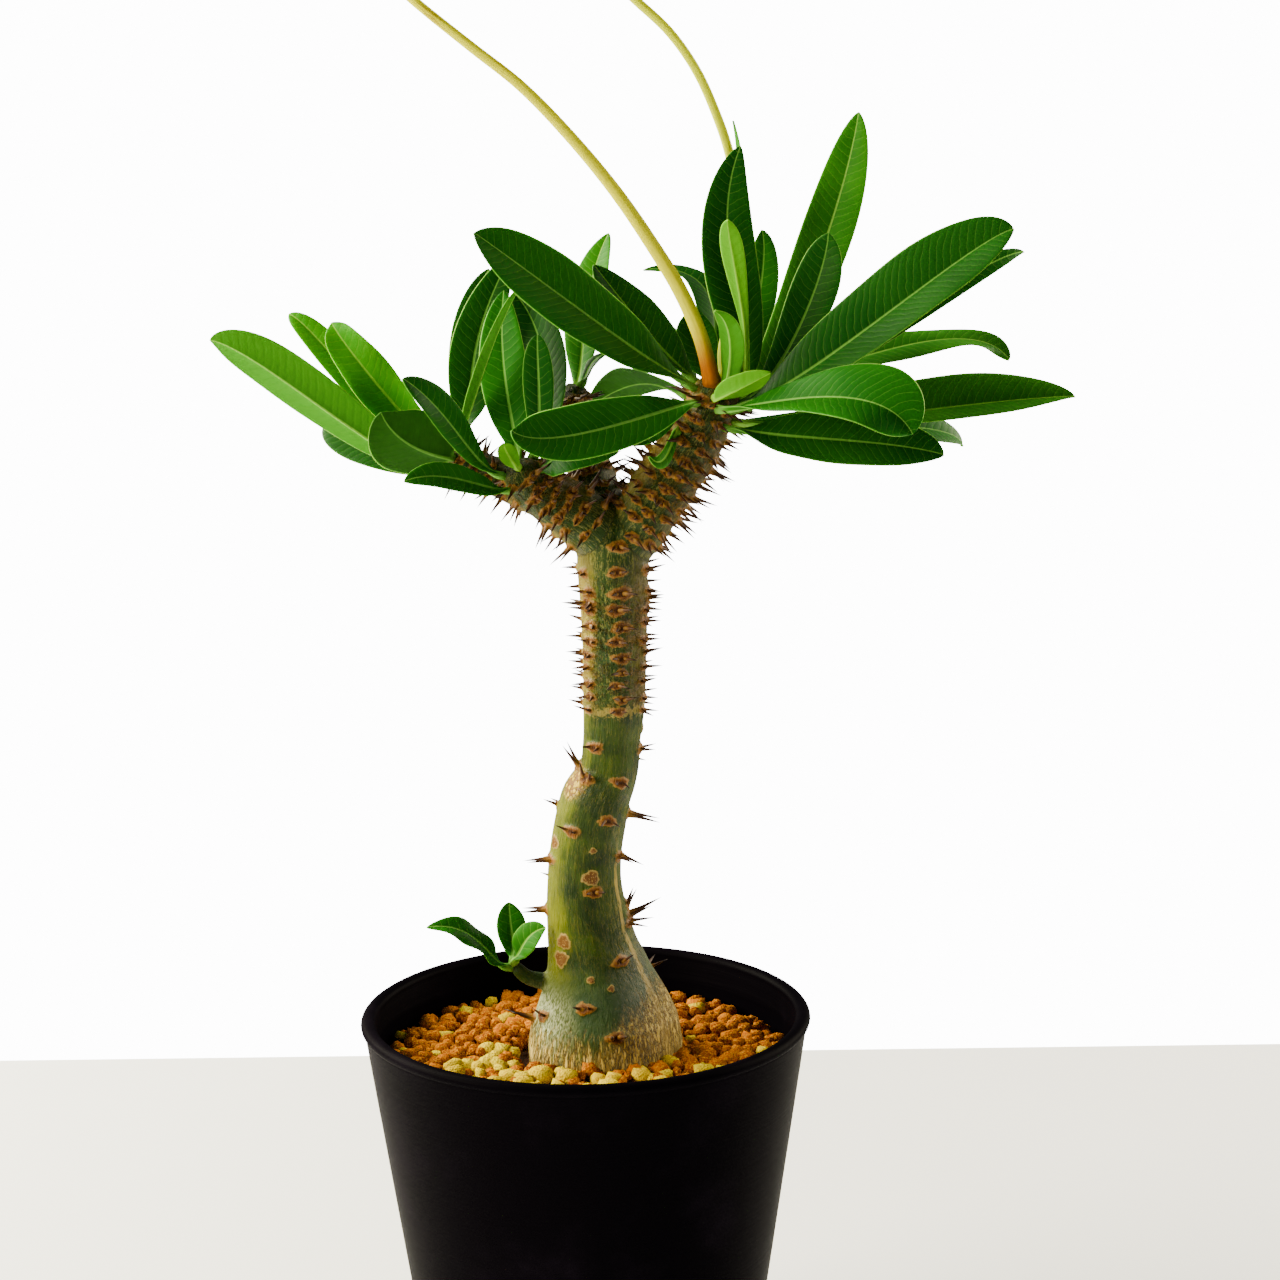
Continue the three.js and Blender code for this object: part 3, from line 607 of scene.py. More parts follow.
def spread_cushions():
    rows = []
    for limb, angle, below, length, rise, width in young_cushions(draws(21)) + old_cushions():
        seat, outward, axis, _ = seat_on(limb, angle, below, 0)
        if not inside_another_limb(seat, limb):
            rows.append((seat, outward, axis, length, rise, width))
    return rows


cushions = spread_cushions()
print("cushions:", len(cushions))

# %% [markdown]
# The skin of the wood could be one tube for each limb, but the forks would show hard creases. So the tubes
# are only the start: a voxel remesh melts them into one closed skin with even small faces, and a few rounds
# of smoothing soften the forks as growth does. The even faces can then carry real relief, so each cushion
# and scar is raised in the mesh, and what was raised is stored as an attribute that the colours read later.

# %% Skin of the wood
VOXEL = 0.55
TUBE_SIDES = 40
TUBE_STEP = 1.5
FURROWS = 5
FURROW_DEPTH = 0.02
FURROW_TWIST = 14
SMOOTHINGS = 6
CUSHION_RISE = 0.7
CUSHION_STRETCH = 1.8
SCAR_RISE = 0.4
SCAR_STRETCH = 1.15


def limb_tube(bm, limb):
    """A closed tube along a limb, from a grid rolled round its centre line."""
    line = LINES[limb]
    rings = round(line.length / TUBE_STEP)
    furrow = FURROW_DEPTH if limb == "trunk" else 0
    for vert, u, v in grid(bm, TUBE_SIDES, rings):
        below = line.length * (1 - v) if v < 1 else 0
        point, axis, radius, _, _ = limb_at(limb, below)
        if round(v * rings) == 0:
            radius = 0
        angle = 2 * math.pi * u
        radius *= 1 + furrow * math.sin(FURROWS * angle + point[2] / FURROW_TWIST)
        vert.co = point + radius * round_axis(axis, compass(90), angle)


def melted_limbs():
    """One mesh of all the limbs: tubes, joined by a voxel remesh and smoothed."""
    bm = bmesh.new()
    for limb in LIMBS:
        limb_tube(bm, limb)
    close(bm)
    tubes = added("limb_tubes", mesh_of(bm, "limb_tubes"))
    remesh = tubes.modifiers.new("melt", "REMESH")
    remesh.mode = "VOXEL"
    remesh.voxel_size = VOXEL
    smooth = tubes.modifiers.new("soften", "SMOOTH")
    smooth.factor = 0.5
    smooth.iterations = SMOOTHINGS
    melted = baked(tubes)
    bpy.data.objects.remove(tubes)
    return melted


wood = melted_limbs()
print("wood faces:", len(wood.polygons))

# %% [markdown]
# Bark runs along its limb. To let stripes and fissures follow every bend, each corner of the skin is told
# how far along its limb it lies and how far round it, as if the limb were straightened. The nearest stretch
# of a centre line gives that. A second attribute tells how young the wood is: 0 in the trunk and 1 at the
# tip of a limb.

# %% Straightened coordinates
def corners(mesh):
    """The corners of a mesh as rows of three numbers."""
    numbers = np.empty(len(mesh.vertices) * 3, np.float32)
    mesh.vertices.foreach_get("co", numbers)
    return numbers.reshape(-1, 3).astype(float)


def store(mesh, name, rows):
    """Stores three numbers for each corner as an attribute."""
    made = mesh.attributes.new(name, "FLOAT_VECTOR", "POINT")
    made.data.foreach_set("vector", rows.astype(np.float32).ravel())


def limb_samples():
    """Points along every centre line, with the direction, radius, distance from the root and youth there."""
    for limb, line in LINES.items():
        for below in np.arange(0, line.length, 1.0):
            point, axis, radius, _, _ = limb_at(limb, below)
            youth = 0.0 if limb == "trunk" else 1 - below / line.length
            yield point, axis, radius, line.length - below, youth


def straighten(mesh):
    places = corners(mesh)
    nearest = np.full(len(places), np.inf)
    run = np.zeros_like(places)
    age = np.zeros_like(places)
    for point, axis, radius, along, youth in limb_samples():
        off = places - point
        outside = np.linalg.norm(off, axis=1) - radius
        closer = outside < nearest
        nearest[closer] = outside[closer]
        side = square_to(compass(90), axis)
        frame_here = np.column_stack([side, np.cross(axis, side), axis])
        run[closer] = off[closer] @ frame_here + (0, 0, along)
        age[closer, 0] = youth
    store(mesh, "run", run)
    store(mesh, "age", age)


straighten(wood)

# %% [markdown]
# Now the relief. A cushion is a low mound, wider than it is tall, with a pit in its middle that the two
# spines frame. A scar is nearly round and lower. The outline of both is lobed a little, by draws of their
# own, so that no two look stamped.

# %% Cushions and scars in the skin
# A mark's mound and pit, by distance from its middle as a share of its width, edge first
MOUND = (1.15, 0.45)
PIT = (0.5, 0.15)
PIT_DEPTH = 0.5
MARK_REACH = 1.4
# Lobes of a mark's outline: how many, how deep
LOBES = [(3, 0.12), (7, 0.07)]


def raise_marks(mesh):
    """Lifts the skin at every cushion and scar, and stores where: cushion, scar, pit."""
    places = corners(mesh)
    lifted = places.copy()
    marks = np.zeros_like(places)
    draw = draws(31)

    def mark(seat, outward, axis, width, stretch, rise, column):
        off = places - seat
        near = np.flatnonzero(np.linalg.norm(off, axis=1) < MARK_REACH * width * stretch)
        off = off[near]
        across, along = off @ np.cross(axis, outward) / stretch, off @ axis
        turn = np.arctan2(along, across)
        lobes = 1 + sum(depth * np.sin(count * turn + 6 * next(draw)) for count, depth in LOBES)
        apart = np.hypot(across, along) / (width * lobes)
        mound = smoothstep(apart, *MOUND)
        pit = smoothstep(apart, *PIT)
        lifted[near] += np.outer(rise * (mound - PIT_DEPTH * pit), outward)
        marks[near, column] = np.maximum(marks[near, column], mound)
        marks[near, 2] = np.maximum(marks[near, 2], pit)

    for seat, outward, axis, _, _, width in cushions:
        mark(seat, outward, axis, width, CUSHION_STRETCH, CUSHION_RISE, 0)
    for angle, height, width in SCARS:
        seat, outward, axis, _ = seat_on("trunk", angle, below_at_height(height), 0)
        mark(seat, outward, axis, width, SCAR_STRETCH, SCAR_RISE, 1)
    mesh.vertices.foreach_set("co", lifted.astype(np.float32).ravel())
    store(mesh, "marks", marks)


raise_marks(wood)

# %% [markdown]
# Colour of the wood, first of the stem. It is olive green. Towards the window it turns yellow, partly its
# own colour and partly painted sunlight, with a broken edge, and long pale streaks and fine cracks run up
# it. The foot is tan and split into upright fissures, higher up on its flanks than in front. Above the tan
# lies a dark band, and on its left shoulder the silver hairs carry a painted highlight.

# %% Bark of the stem
# The yellow given to the stem's window side is painted sunlight.
BARK = {
    "shade": (0.008, 0.023, 0.0002), "olive": (0.03, 0.056, 0.0003), "young": (0.014, 0.03, 0.0005),
    "painted_sunlight": (0.15, 0.165, 0.0008), "streak": (0.1, 0.1, 0.003), "crack": (0.26, 0.2, 0.03),
    "tan_dark": (0.17, 0.1, 0.012), "tan": (0.56, 0.4, 0.08), "hair": (0.74, 0.62, 0.27),
    # The silver is partly the hairs' own colour and partly a painted highlight on the foot's left shoulder.
    "fissure": (0.02, 0.011, 0.003), "band": (0.018, 0.048, 0.012), "silver": (0.56, 0.6, 0.34),
    "seam": (0.5, 0.35, 0.08), "crust_dark": (0.04, 0.02, 0.001), "crust": (0.25, 0.14, 0.008),
    # The gold is partly the bark's own colour and partly painted sunlight on the window side of the limbs.
    "painted_sunlit_gold_dark": (0.2, 0.12, 0.006), "painted_sunlit_gold": (0.5, 0.36, 0.05), "rust_dark": (0.05, 0.025, 0.001),
    "rust": (0.2, 0.12, 0.01), "strip": (0.009, 0.03, 0.0003), "strip_crack": (0.24, 0.22, 0.05),
    "callus_dark": (0.17, 0.08, 0.006), "callus": (0.72, 0.5, 0.07), "ring": (0.3, 0.22, 0.04),
    "scar_dark": (0.13, 0.055, 0.008), "scar": (0.4, 0.26, 0.08), "scar_rim": (0.3, 0.2, 0.05),
    "rim_dark": (0.1, 0.035, 0.002), "rim": (0.36, 0.19, 0.03), "cushion": (0.15, 0.05, 0.005),
    "pit": (0.04, 0.013, 0.002),
}
BARK = {name: colour(*value) for name, value in BARK.items()}
# Where the painted sunlight on the stem's window side begins and is full.
PAINTED_SUN_EDGE = (11.5, 19.5)
FOOT_TOP = 113.0
FOOT_RAGGED = 24.0
FOOT_MIDDLE = -3.0
FOOT_FRONT = 6.0
FOOT_FLANK = 0.8
# Painted highlight: where the lit left shoulder of the foot ends, across the stem.
FOOT_PAINTED_GLINT = -11.0
SEAM_SLOPE = -0.65
SEAM_TOP = 168.0


def stem_green(wiring, run, place, age):
    """The green of the stem. Also gives the streaks and the fine noise, which other coats share."""
    blotch = wiring.noise(place, 0.11, 3.0, 0.6)
    streak = wiring.noise(wiring.stretched(run, (1.0, 1.0, 0.11)), 1.0, 4.0, 0.6)
    fine = wiring.noise(wiring.stretched(run, (3.2, 3.2, 0.3)), 1.0, 3.0, 0.6)
    vein = wiring.noise(wiring.stretched(run, (0.9, 0.9, 0.1)), 1.3, 5.0, 0.62)
    right = wiring.parts(run)[0]
    green = wiring.blend(wiring.step(blotch, 0.35, 0.65), BARK["shade"], BARK["olive"])
    green = wiring.blend(wiring.step(age, 0.0, 0.5), green, BARK["young"])
    patchy = wiring.plus(wiring.times(blotch, 9.0), wiring.times(streak, 7.0))
    # Painted sunlight: the stem is coloured yellow towards the window, where the light falls on it.
    painted_sunlit_side = wiring.step(wiring.minus(patchy, right), *PAINTED_SUN_EDGE)
    green = wiring.coat(green, painted_sunlit_side, BARK["painted_sunlight"], 0.9)
    green = wiring.coat(green, wiring.step(streak, 0.55, 0.72), BARK["streak"], 0.35)
    crack = wiring.larger(wiring.line(vein, 0.022, 0.002), wiring.step(fine, 0.64, 0.78))
    shaded = wiring.plus(wiring.times(wiring.step(right, 3.0, 9.0), 0.4), 0.2)
    return wiring.coat(green, crack, BARK["crack"], shaded), streak, fine


def foot_coats(wiring, base, place, streak, split):
    """Dark band, silver hairs under a painted highlight, and tan bark. Also gives where the tan is, and where
    it is split.
    """
    right, _, height = wiring.parts(place)
    hair = wiring.noise(wiring.place((2.6, 2.6, 0.16)), 1.0, 2.0, 0.55)
    fissure = wiring.line(split, 0.05, 0.0)
    tan = wiring.blend(wiring.step(split, 0.36, 0.62), BARK["tan_dark"], BARK["tan"])
    tan = wiring.coat(tan, wiring.step(hair, 0.48, 0.7), BARK["hair"], 0.6)
    tan = wiring.coat(tan, fissure, BARK["fissure"], 0.85)

    aside = wiring.size_of(wiring.minus(right, FOOT_MIDDLE))
    flank = wiring.larger(wiring.minus(aside, FOOT_FRONT), 0.0)
    edge = wiring.plus(height, wiring.swing(streak, FOOT_RAGGED))
    edge = wiring.minus(edge, wiring.times(flank, FOOT_FLANK))
    foot = wiring.step(edge, FOOT_TOP + 5, FOOT_TOP - 6)
    band = wiring.times(wiring.step(height, 137.0, 124.0), wiring.step(height, 108.0, 116.0))
    # Painted highlight: the silver hairs on the foot's left shoulder are lightened where the light falls.
    painted_glint = wiring.times(wiring.step(height, 129.0, 121.0), wiring.step(right, FOOT_PAINTED_GLINT + 11, FOOT_PAINTED_GLINT))
    painted_glint = wiring.times(painted_glint, wiring.step(hair, 0.36, 0.66))
    base = wiring.coat(base, band, BARK["band"], 0.75)
    base = wiring.coat(base, painted_glint, BARK["silver"], 0.75)
    return wiring.blend(foot, base, tan), foot, wiring.times(fissure, foot)


def seam_coat(wiring, base, run, place, split):
    """One long pale seam up the right side of the stem, broken like the fissures."""
    right, back, _ = wiring.parts(run)
    slope = wiring.minus(wiring.math("DIVIDE", back, right), SEAM_SLOPE)
    slope = wiring.plus(slope, wiring.swing(wiring.noise(place, 0.13, 3.0), 0.5))
    seam = wiring.times(wiring.step(wiring.size_of(slope), 0.12, 0.05), wiring.step(right, 2.0, 4.0))
    seam = wiring.times(seam, wiring.step(wiring.parts(place)[2], SEAM_TOP, SEAM_TOP - 14))
    seam = wiring.times(seam, wiring.step(split, 0.35, 0.5))
    return wiring.coat(base, seam, BARK["seam"], 0.6)


# %% [markdown]
# Higher up the wood wears a rusty crust, which keeps away from the fork. It is golden towards the window,
# partly its own colour and partly painted sunlight, and rusty on the far side, and a dark green strip with
# pale cracks runs between the two. Smaller marks follow: a knobbly callus on the left of the stem, and the
# ring where a new year's growth began.
# follow: a knobbly callus on the left of the stem, and the ring where a new year's growth began.

# %% Bark of the limbs, callus and growth ring
CRUST_FROM = 200.0
FORK_GREEN = 10.0
# A side of the limbs, where across them it begins and is full, and the most that it covers
# The golden side towards the window is partly painted sunlight.
LIMB_SIDES = [("painted_sunlit_gold", -3.5, -7.5, 0.6), ("rust", 3.0, 7.0, 0.5)]
STRIP_MIDDLE = -1.5
CALLUS = (-62, 178.4)
CALLUS_REACH = 5.5
GROWTH_RING = 201.0


def limb_coats(wiring, base, run, place, fine, torn):
    """Crust, golden side partly painted as sunlit, rusty side and green strip. Also gives where the crust is.
    """
    upper = wiring.step(wiring.parts(place)[2], CRUST_FROM, CRUST_FROM + 6)
    from_fork = wiring.apart(place, limb_at("trunk", 0)[0])
    crust = wiring.times(wiring.step(wiring.noise(place, 0.5, 5.0, 0.72), 0.46, 0.62), upper)
    crust = wiring.times(crust, wiring.step(from_fork, FORK_GREEN, FORK_GREEN + 12))
    base = wiring.coat(base, crust, wiring.blend(fine, BARK["crust_dark"], BARK["crust"]), 0.8)

    right = wiring.plus(wiring.parts(run)[0], wiring.times(torn, 4.0))
    for side, begins, full, most in LIMB_SIDES:
        mask = wiring.times(wiring.step(right, begins, full), upper)
        base = wiring.coat(base, mask, wiring.blend(fine, BARK[side + "_dark"], BARK[side]), most)
    strip = wiring.step(wiring.size_of(wiring.minus(right, STRIP_MIDDLE)), 4.5, 2.0)
    strip = wiring.times(wiring.larger(strip, wiring.step(from_fork, 19.0, 9.0)), upper)
    cracks = wiring.line(wiring.noise(wiring.stretched(run, (0.7, 0.7, 0.16)), 1.0, 4.0, 0.7), 0.022, 0.006)
    base = wiring.coat(base, strip, BARK["strip"], 0.7)
    return wiring.coat(base, wiring.times(cracks, strip), BARK["strip_crack"], 0.6), crust


def callus_coat(wiring, base, place, torn):
    """A knobbly lump. Also gives where its knobs are."""
    seat, _, _, _ = seat_on("trunk", CALLUS[0], below_at_height(CALLUS[1]), 0)
    apart = wiring.plus(wiring.apart(place, seat), wiring.times(torn, 5.0))
    callus = wiring.step(apart, CALLUS_REACH, CALLUS_REACH - 3)
    knobs = wiring.step(wiring.cells(place, 0.7), 0.6, 0.25)
    base = wiring.blend(callus, base, wiring.blend(knobs, BARK["callus_dark"], BARK["callus"]))
    return base, wiring.times(callus, knobs)


def ring_coat(wiring, base, place, streak, torn):
    away = wiring.plus(wiring.minus(wiring.parts(place)[2], GROWTH_RING), wiring.times(torn, 9.0))
    away = wiring.plus(away, wiring.swing(streak, 4.0))
    return wiring.coat(base, wiring.step(wiring.size_of(away), 1.5, 0.5), BARK["ring"], 0.6)


# %% [markdown]
# The marks that were raised in the mesh get their colours last. A scar is freckled inside a pale rim. A
# cushion is tan at the rim and rust brown inside, with a dark pit. What is too fine for the mesh, such as
# streaks, fissures and the crust, goes into a bump.

# %% Finish of the bark
def mark_coats(wiring, base, place, fine, torn):
    _, (cushion_at, scar_at, pit_at) = wiring.attribute("marks")
    freckles = wiring.step(wiring.cells(place, 1.9), 0.3, 0.12)
    scar = wiring.blend(freckles, BARK["scar_dark"], BARK["scar"])
    scar = wiring.blend(wiring.step(scar_at, 0.9, 0.5), scar, BARK["scar_rim"])
    base = wiring.blend(wiring.step(wiring.plus(scar_at, torn), 0.25, 0.5), base, scar)
    cushion = wiring.blend(fine, BARK["rim_dark"], BARK["rim"])
    cushion = wiring.blend(wiring.step(cushion_at, 0.5, 1.0), cushion, BARK["cushion"])
    cushion = wiring.blend(pit_at, cushion, BARK["pit"])
    return wiring.blend(wiring.step(wiring.plus(cushion_at, torn), 0.2, 0.5), base, cushion)


def bark_finish():
    material, wiring, shader = new_finish("bark", 0.14)
    place = wiring.place()
    run, _ = wiring.attribute("run")
    _, (age, _, _) = wiring.attribute("age")
    ragged = wiring.noise(place, 1.3, 4.0, 0.7)
    torn = wiring.swing(ragged, 0.9)
    split = wiring.noise(wiring.place((1.5, 1.5, 0.15)), 1.0, 5.0, 0.7)

    base, streak, fine = stem_green(wiring, run, place, age)
    base, foot, fissure = foot_coats(wiring, base, place, streak, split)
    base = seam_coat(wiring, base, run, place, split)
    base, crust = limb_coats(wiring, base, run, place, fine, torn)
    base, knobs = callus_coat(wiring, base, place, torn)
    base = ring_coat(wiring, base, place, streak, torn)
    base = mark_coats(wiring, base, place, fine, torn)

    relief = wiring.plus(wiring.times(fine, 0.6), wiring.times(streak, 0.7))
    lumps = wiring.times(wiring.larger(crust, knobs), wiring.times(ragged, 1.8))
    relief = wiring.minus(wiring.plus(relief, lumps), wiring.times(fissure, 1.3))
    dress(wiring, shader, base, wiring.plus(wiring.times(foot, 0.2), 0.38), relief, 0.6)
    return material


def add_wood():
    bm = bmesh.new()
    bm.from_mesh(wood)
    made = finished("wood_skin", bm, bark_finish(), "bark", "trunk")
    print("wood skin:", len(made.data.polygons), "faces")


add_wood()

# %% [markdown]
# One spine is shaped once: a ring is drawn out to a needle with a broad foot. Copies of it are laid into a
# single mesh, each turned to its own direction. They stand in twos on either side of a cushion's pit and
# lean apart, short pairs more than long ones. A stored number runs from 0 at the foot to 1 at the tip, so
# that the tips can be nearly black.

# %% Spines
SPINE_SIDES = 6
SPINE_PROFILE = [(0.0, 1.2), (0.12, 0.82), (0.32, 0.5), (0.68, 0.27), (0.97, 0.06)]
SPINE_SUNK = 0.8
PAIR_APART = 0.85
SHORT_PAIR_SPREAD = 38
LONG_PAIR_SPREAD = 11
SHORT_TO_LONG = (4.5, 8.0)
SEAT_LIFT = 0.2
TILT_SHAKE = 16


def spine_shape():
    """One spine along +Z, one unit long, with its radii in millimetres."""
    bm = bmesh.new()
    bmesh.ops.create_circle(bm, cap_ends=False, radius=SPINE_PROFILE[0][1], segments=SPINE_SIDES)
    edges = bm.edges[:]
    for (_, last), (along, radius) in zip(SPINE_PROFILE, SPINE_PROFILE[1:]):
        made = bmesh.ops.extrude_edge_only(bm, edges=edges)["geom"]
        ring = [part for part in made if isinstance(part, bmesh.types.BMVert)]
        edges = [part for part in made if isinstance(part, bmesh.types.BMEdge)]
        bmesh.ops.scale(bm, vec=(radius / last, radius / last, 1), verts=ring)
        for vert in ring:
            vert.co.z = along
    bmesh.ops.pointmerge(bm, verts=ring, merge_co=(0, 0, 1))
    bmesh.ops.holes_fill(bm, edges=bm.edges, sides=0)
    bmesh.ops.recalc_face_normals(bm, faces=bm.faces)
    return mesh_of(bm, "spine_shape")


def add_copy(bm, shape, turn):
    """Appends a copy of a small mesh, placed by a matrix, and returns its corners."""
    start = len(bm.verts)
    bm.from_mesh(shape)
    bm.verts.ensure_lookup_table()
    verts = bm.verts[start:]
    bmesh.ops.transform(bm, matrix=turn, verts=verts)
    return verts


def spine_turn(foot, direction, length, girth):
    size = Matrix.Diagonal((girth, girth, length, 1))
    return Matrix.Translation(Vector(foot)) @ turned_to(direction) @ size


def add_spines():
    draw = draws(7)
    shape = spine_shape()
    bm = bmesh.new()
    layer = bm.verts.layers.float.new("along")
    pattern = [vert.co.z for vert in shape.vertices]
    for seat, outward, axis, length, rise, width in cushions:
        around = np.cross(axis, outward)
        for side in (-1, 1):
            spread = lerp(SHORT_PAIR_SPREAD, LONG_PAIR_SPREAD, smoothstep(length, *SHORT_TO_LONG))
            lean = math.radians(spread * side * lerp(0.4, 1.2, next(draw)))
            tilt = math.radians(rise + TILT_SHAKE * (next(draw) - 0.5))
            level = math.cos(lean) * outward + math.sin(lean) * around
            direction = math.cos(tilt) * level + math.sin(tilt) * axis
            own = length * lerp(0.75, 1.05, next(draw))
            beside = around * side * PAIR_APART * width / CUSHION_WIDTH
            foot = seat + beside + outward * SEAT_LIFT - direction * SPINE_SUNK
            girth = lerp(0.85, 1.1, next(draw)) * (0.75 + 0.04 * own)
            verts = add_copy(bm, shape, spine_turn(foot, direction, own + SPINE_SUNK, girth))
            for vert, along in zip(verts, pattern):
                vert[layer] = along
    made = finished("spines", bm, spine_finish(), "bark")
    print("spines:", 2 * len(cushions), "with", len(made.data.polygons), "faces")


def spine_finish():
    material, wiring, shader = new_finish("spine", 0.2)
    along = wiring.node("Attribute", attribute_name="along").outputs["Fac"]
    mottle = wiring.noise(wiring.place(), 0.8, 3.0)
    base = wiring.blend(mottle, colour(0.13, 0.05, 0.005), colour(0.34, 0.17, 0.02))
    base = wiring.blend(wiring.step(along, 0.1, 0.42), base, colour(0.05, 0.017, 0.004))
    base = wiring.blend(wiring.step(along, 0.45, 0.85), base, colour(0.012, 0.005, 0.003))
    dress(wiring, shader, base, wiring.plus(wiring.times(mottle, 0.2), 0.35), mottle, 0.15)
    return material


add_spines()

# %% [markdown]
# The pot is a turned shape: one outline spun round the axis. Its lip is rolled, the wall tapers to a foot
# ring and the floor has drain holes round a raised middle. Below the lip, the inside has faint steps left
# by the mould. The holes are cut with a Boolean, which is simpler than building the floor round them.

# %% Pot
POT_HEIGHT = 118
RIM_RADIUS = 60
BASE_RADIUS = 42
LIP_WIDTH = 4
LIP_HEIGHT = 3.2
LIP_STEP = 0.5
LIP_POINTS = 12
LIP_FROM = -60
LIP_ROUND = 240
CREASE_DEPTH = 0.45
WALL = 2
FLOOR_TOP = 5.5
FOOT_HEIGHT = 2
FOOT_RING_WIDTH = 3
FOOT_BOSS_RADIUS = 12
DRAIN_HOLES = 6
DRAIN_HOLE_RADIUS = 4
DRAIN_CIRCLE_RADIUS = 26
DRAIN_HOLE_SIDES = 32
CUTTER_DEPTH = 12
NECK_DEPTH = 9
NECK_FOOT = 104
MOULD_STEPS = [2.6, 4.4, 6.2]
# The two corners of a mould step: away from the lip's inside, and down
STEP_CORNERS = [(0.1, 0.5), (-0.12, 0.9)]
POT_SIDES = 144


def pot_wall_radius(height):
    return lerp(BASE_RADIUS, RIM_RADIUS - LIP_STEP, height / POT_HEIGHT)


def pot_outline():
    """The pot's half section as (radius, height), from the middle of its base to that of its floor."""
    ring = BASE_RADIUS - FOOT_RING_WIDTH
    lip = RIM_RADIUS - LIP_WIDTH
    under = [
        (0, 0), (FOOT_BOSS_RADIUS, 0), (FOOT_BOSS_RADIUS + 1, FOOT_HEIGHT), (ring - 1, FOOT_HEIGHT),
        (ring, 0.3), (ring + 0.3, 0), (BASE_RADIUS - 0.4, 0), (BASE_RADIUS, 0.4),
    ]
    heights = (20, 50, 80, 105, POT_HEIGHT - LIP_HEIGHT - 0.3)
    outside = [(pot_wall_radius(height), height) for height in heights]
    crease = [(pot_wall_radius(POT_HEIGHT) - CREASE_DEPTH, POT_HEIGHT - LIP_HEIGHT)]
    middle, high = RIM_RADIUS - LIP_WIDTH / 2, LIP_HEIGHT / 2
    rolled = []
    for step in range(LIP_POINTS + 1):
        angle = math.radians(LIP_FROM + LIP_ROUND * step / LIP_POINTS)
        rolled.append((middle + LIP_WIDTH / 2 * math.cos(angle), POT_HEIGHT - high + high * math.sin(angle)))
    neck = [(lip + off, POT_HEIGHT - depth - down) for depth in MOULD_STEPS for off, down in STEP_CORNERS]
    inside = [(pot_wall_radius(height) - WALL, height) for height in (NECK_FOOT, FLOOR_TOP)]
    inside = [(lip, POT_HEIGHT - NECK_DEPTH), *inside, (0, FLOOR_TOP)]
    return under + outside + crease + rolled + neck + inside


def spun(bm, outline, sides):
    """Spins an outline once round the pot's axis and closes it."""
    verts = [bm.verts.new((radius, 0, height)) for radius, height in outline]
    edges = [bm.edges.new(pair) for pair in zip(verts, verts[1:])]
    bmesh.ops.spin(
        bm, geom=verts + edges, cent=(0, 0, 0), axis=(0, 0, 1), angle=2 * math.pi, steps=sides, use_merge=True
    )
    close(bm)


def drain_cutter():
    bm = bmesh.new()
    for hole in range(DRAIN_HOLES):
        place = compass(360 * hole / DRAIN_HOLES) * DRAIN_CIRCLE_RADIUS
        turn = Matrix.Translation(Vector((place[0], place[1], FLOOR_TOP / 2)))
        bmesh.ops.create_cone(
            bm, cap_ends=True, segments=DRAIN_HOLE_SIDES, depth=CUTTER_DEPTH, matrix=turn,
            radius1=DRAIN_HOLE_RADIUS, radius2=DRAIN_HOLE_RADIUS,
        )
    bmesh.ops.scale(bm, vec=(MM, MM, MM), verts=bm.verts)
    return added("drain_cutter", mesh_of(bm, "drain_cutter"))


def pot_finish():
    material, wiring, shader = new_finish("black_plastic", 0.006)
    turned = wiring.noise(wiring.place((0.04, 0.04, 1.6)), 1.0, 3.0)
    place = wiring.place()
    cloud = wiring.noise(place, 0.03, 4.0, 0.6)
    grain = wiring.noise(place, 3.0, 2.0)
    black, dusty = colour(0.001, 0.0006, 0.0014), colour(0.006, 0.004, 0.0078)
    base = wiring.coat(black, wiring.step(cloud, 0.45, 0.75), dusty, 0.5)
    relief = wiring.plus(wiring.times(turned, 0.6), wiring.times(grain, 0.25))
    dress(wiring, shader, base, wiring.plus(wiring.times(cloud, 0.16), 0.42), relief, 0.12)
    return material


def add_pot():
    bm = bmesh.new()
    spun(bm, pot_outline(), POT_SIDES)
    pot = finished("nursery_pot", bm, pot_finish(), "pot", "pot")
    cutter = drain_cutter()
    cut = pot.modifiers.new("drain holes", "BOOLEAN")
    cut.operation = "DIFFERENCE"
    cut.object = cutter
    cut_mesh = baked(pot)
    pot.modifiers.clear()
    pot.data = cut_mesh
    bpy.data.objects.remove(cutter)
    print("pot:", len(cut_mesh.polygons), "faces")


add_pot()

# %% [markdown]
# The grit is light fired clay and pumice. Only its top shows, so a plain bed fills the pot, painted dark
# brown as the shade in the gaps between grains, and loose grains cover it in two layers. A grain starts as a
# cube cut once, which gives few faces, and is pushed into a lump. Copies are stretched, turned and dented at
# random. Most are orange. Pale yellow ones lie in a few gatherings round the foot of the plant, and each
# grain of either kind has a hue of its own.

# %% Grit
GRIT_EDGE_HEIGHT = 105.5
GRIT_MIDDLE_HEIGHT = 107.5
CLEAR_OF_FOOT = 23.5
BED_GAP = WALL + 0.7
BED_LIFT = 0.35
BED_SHOULDER = 100
BED_DOWN = 4.2
BED_SIDES = 96
GRAIN_RING = (19.5, 54.3)
GRAIN_LAYERS = [
    {"count": 470, "down": 3.4, "radius": (1.7, 2.7)},
    {"count": 560, "down": 1.0, "radius": (1.5, 3.1)},
]
GOLDEN_ANGLE = 137.508
# Where pale grains gather: compass angle, distance from the pot's axis, reach
PALE_GATHERINGS = [
    (-84, 26, 9), (-58, 29, 13), (-25, 31, 12), (5, 30, 11), (32, 34, 12), (-72, 36, 9), (60, 42, 7),
]
STRAY_PALE = 0.07
GATHERED_PALE = 0.85
PALE_LARGER = 1.2
LEVEL_SHAKE = 1.3
DENTS = 0.32


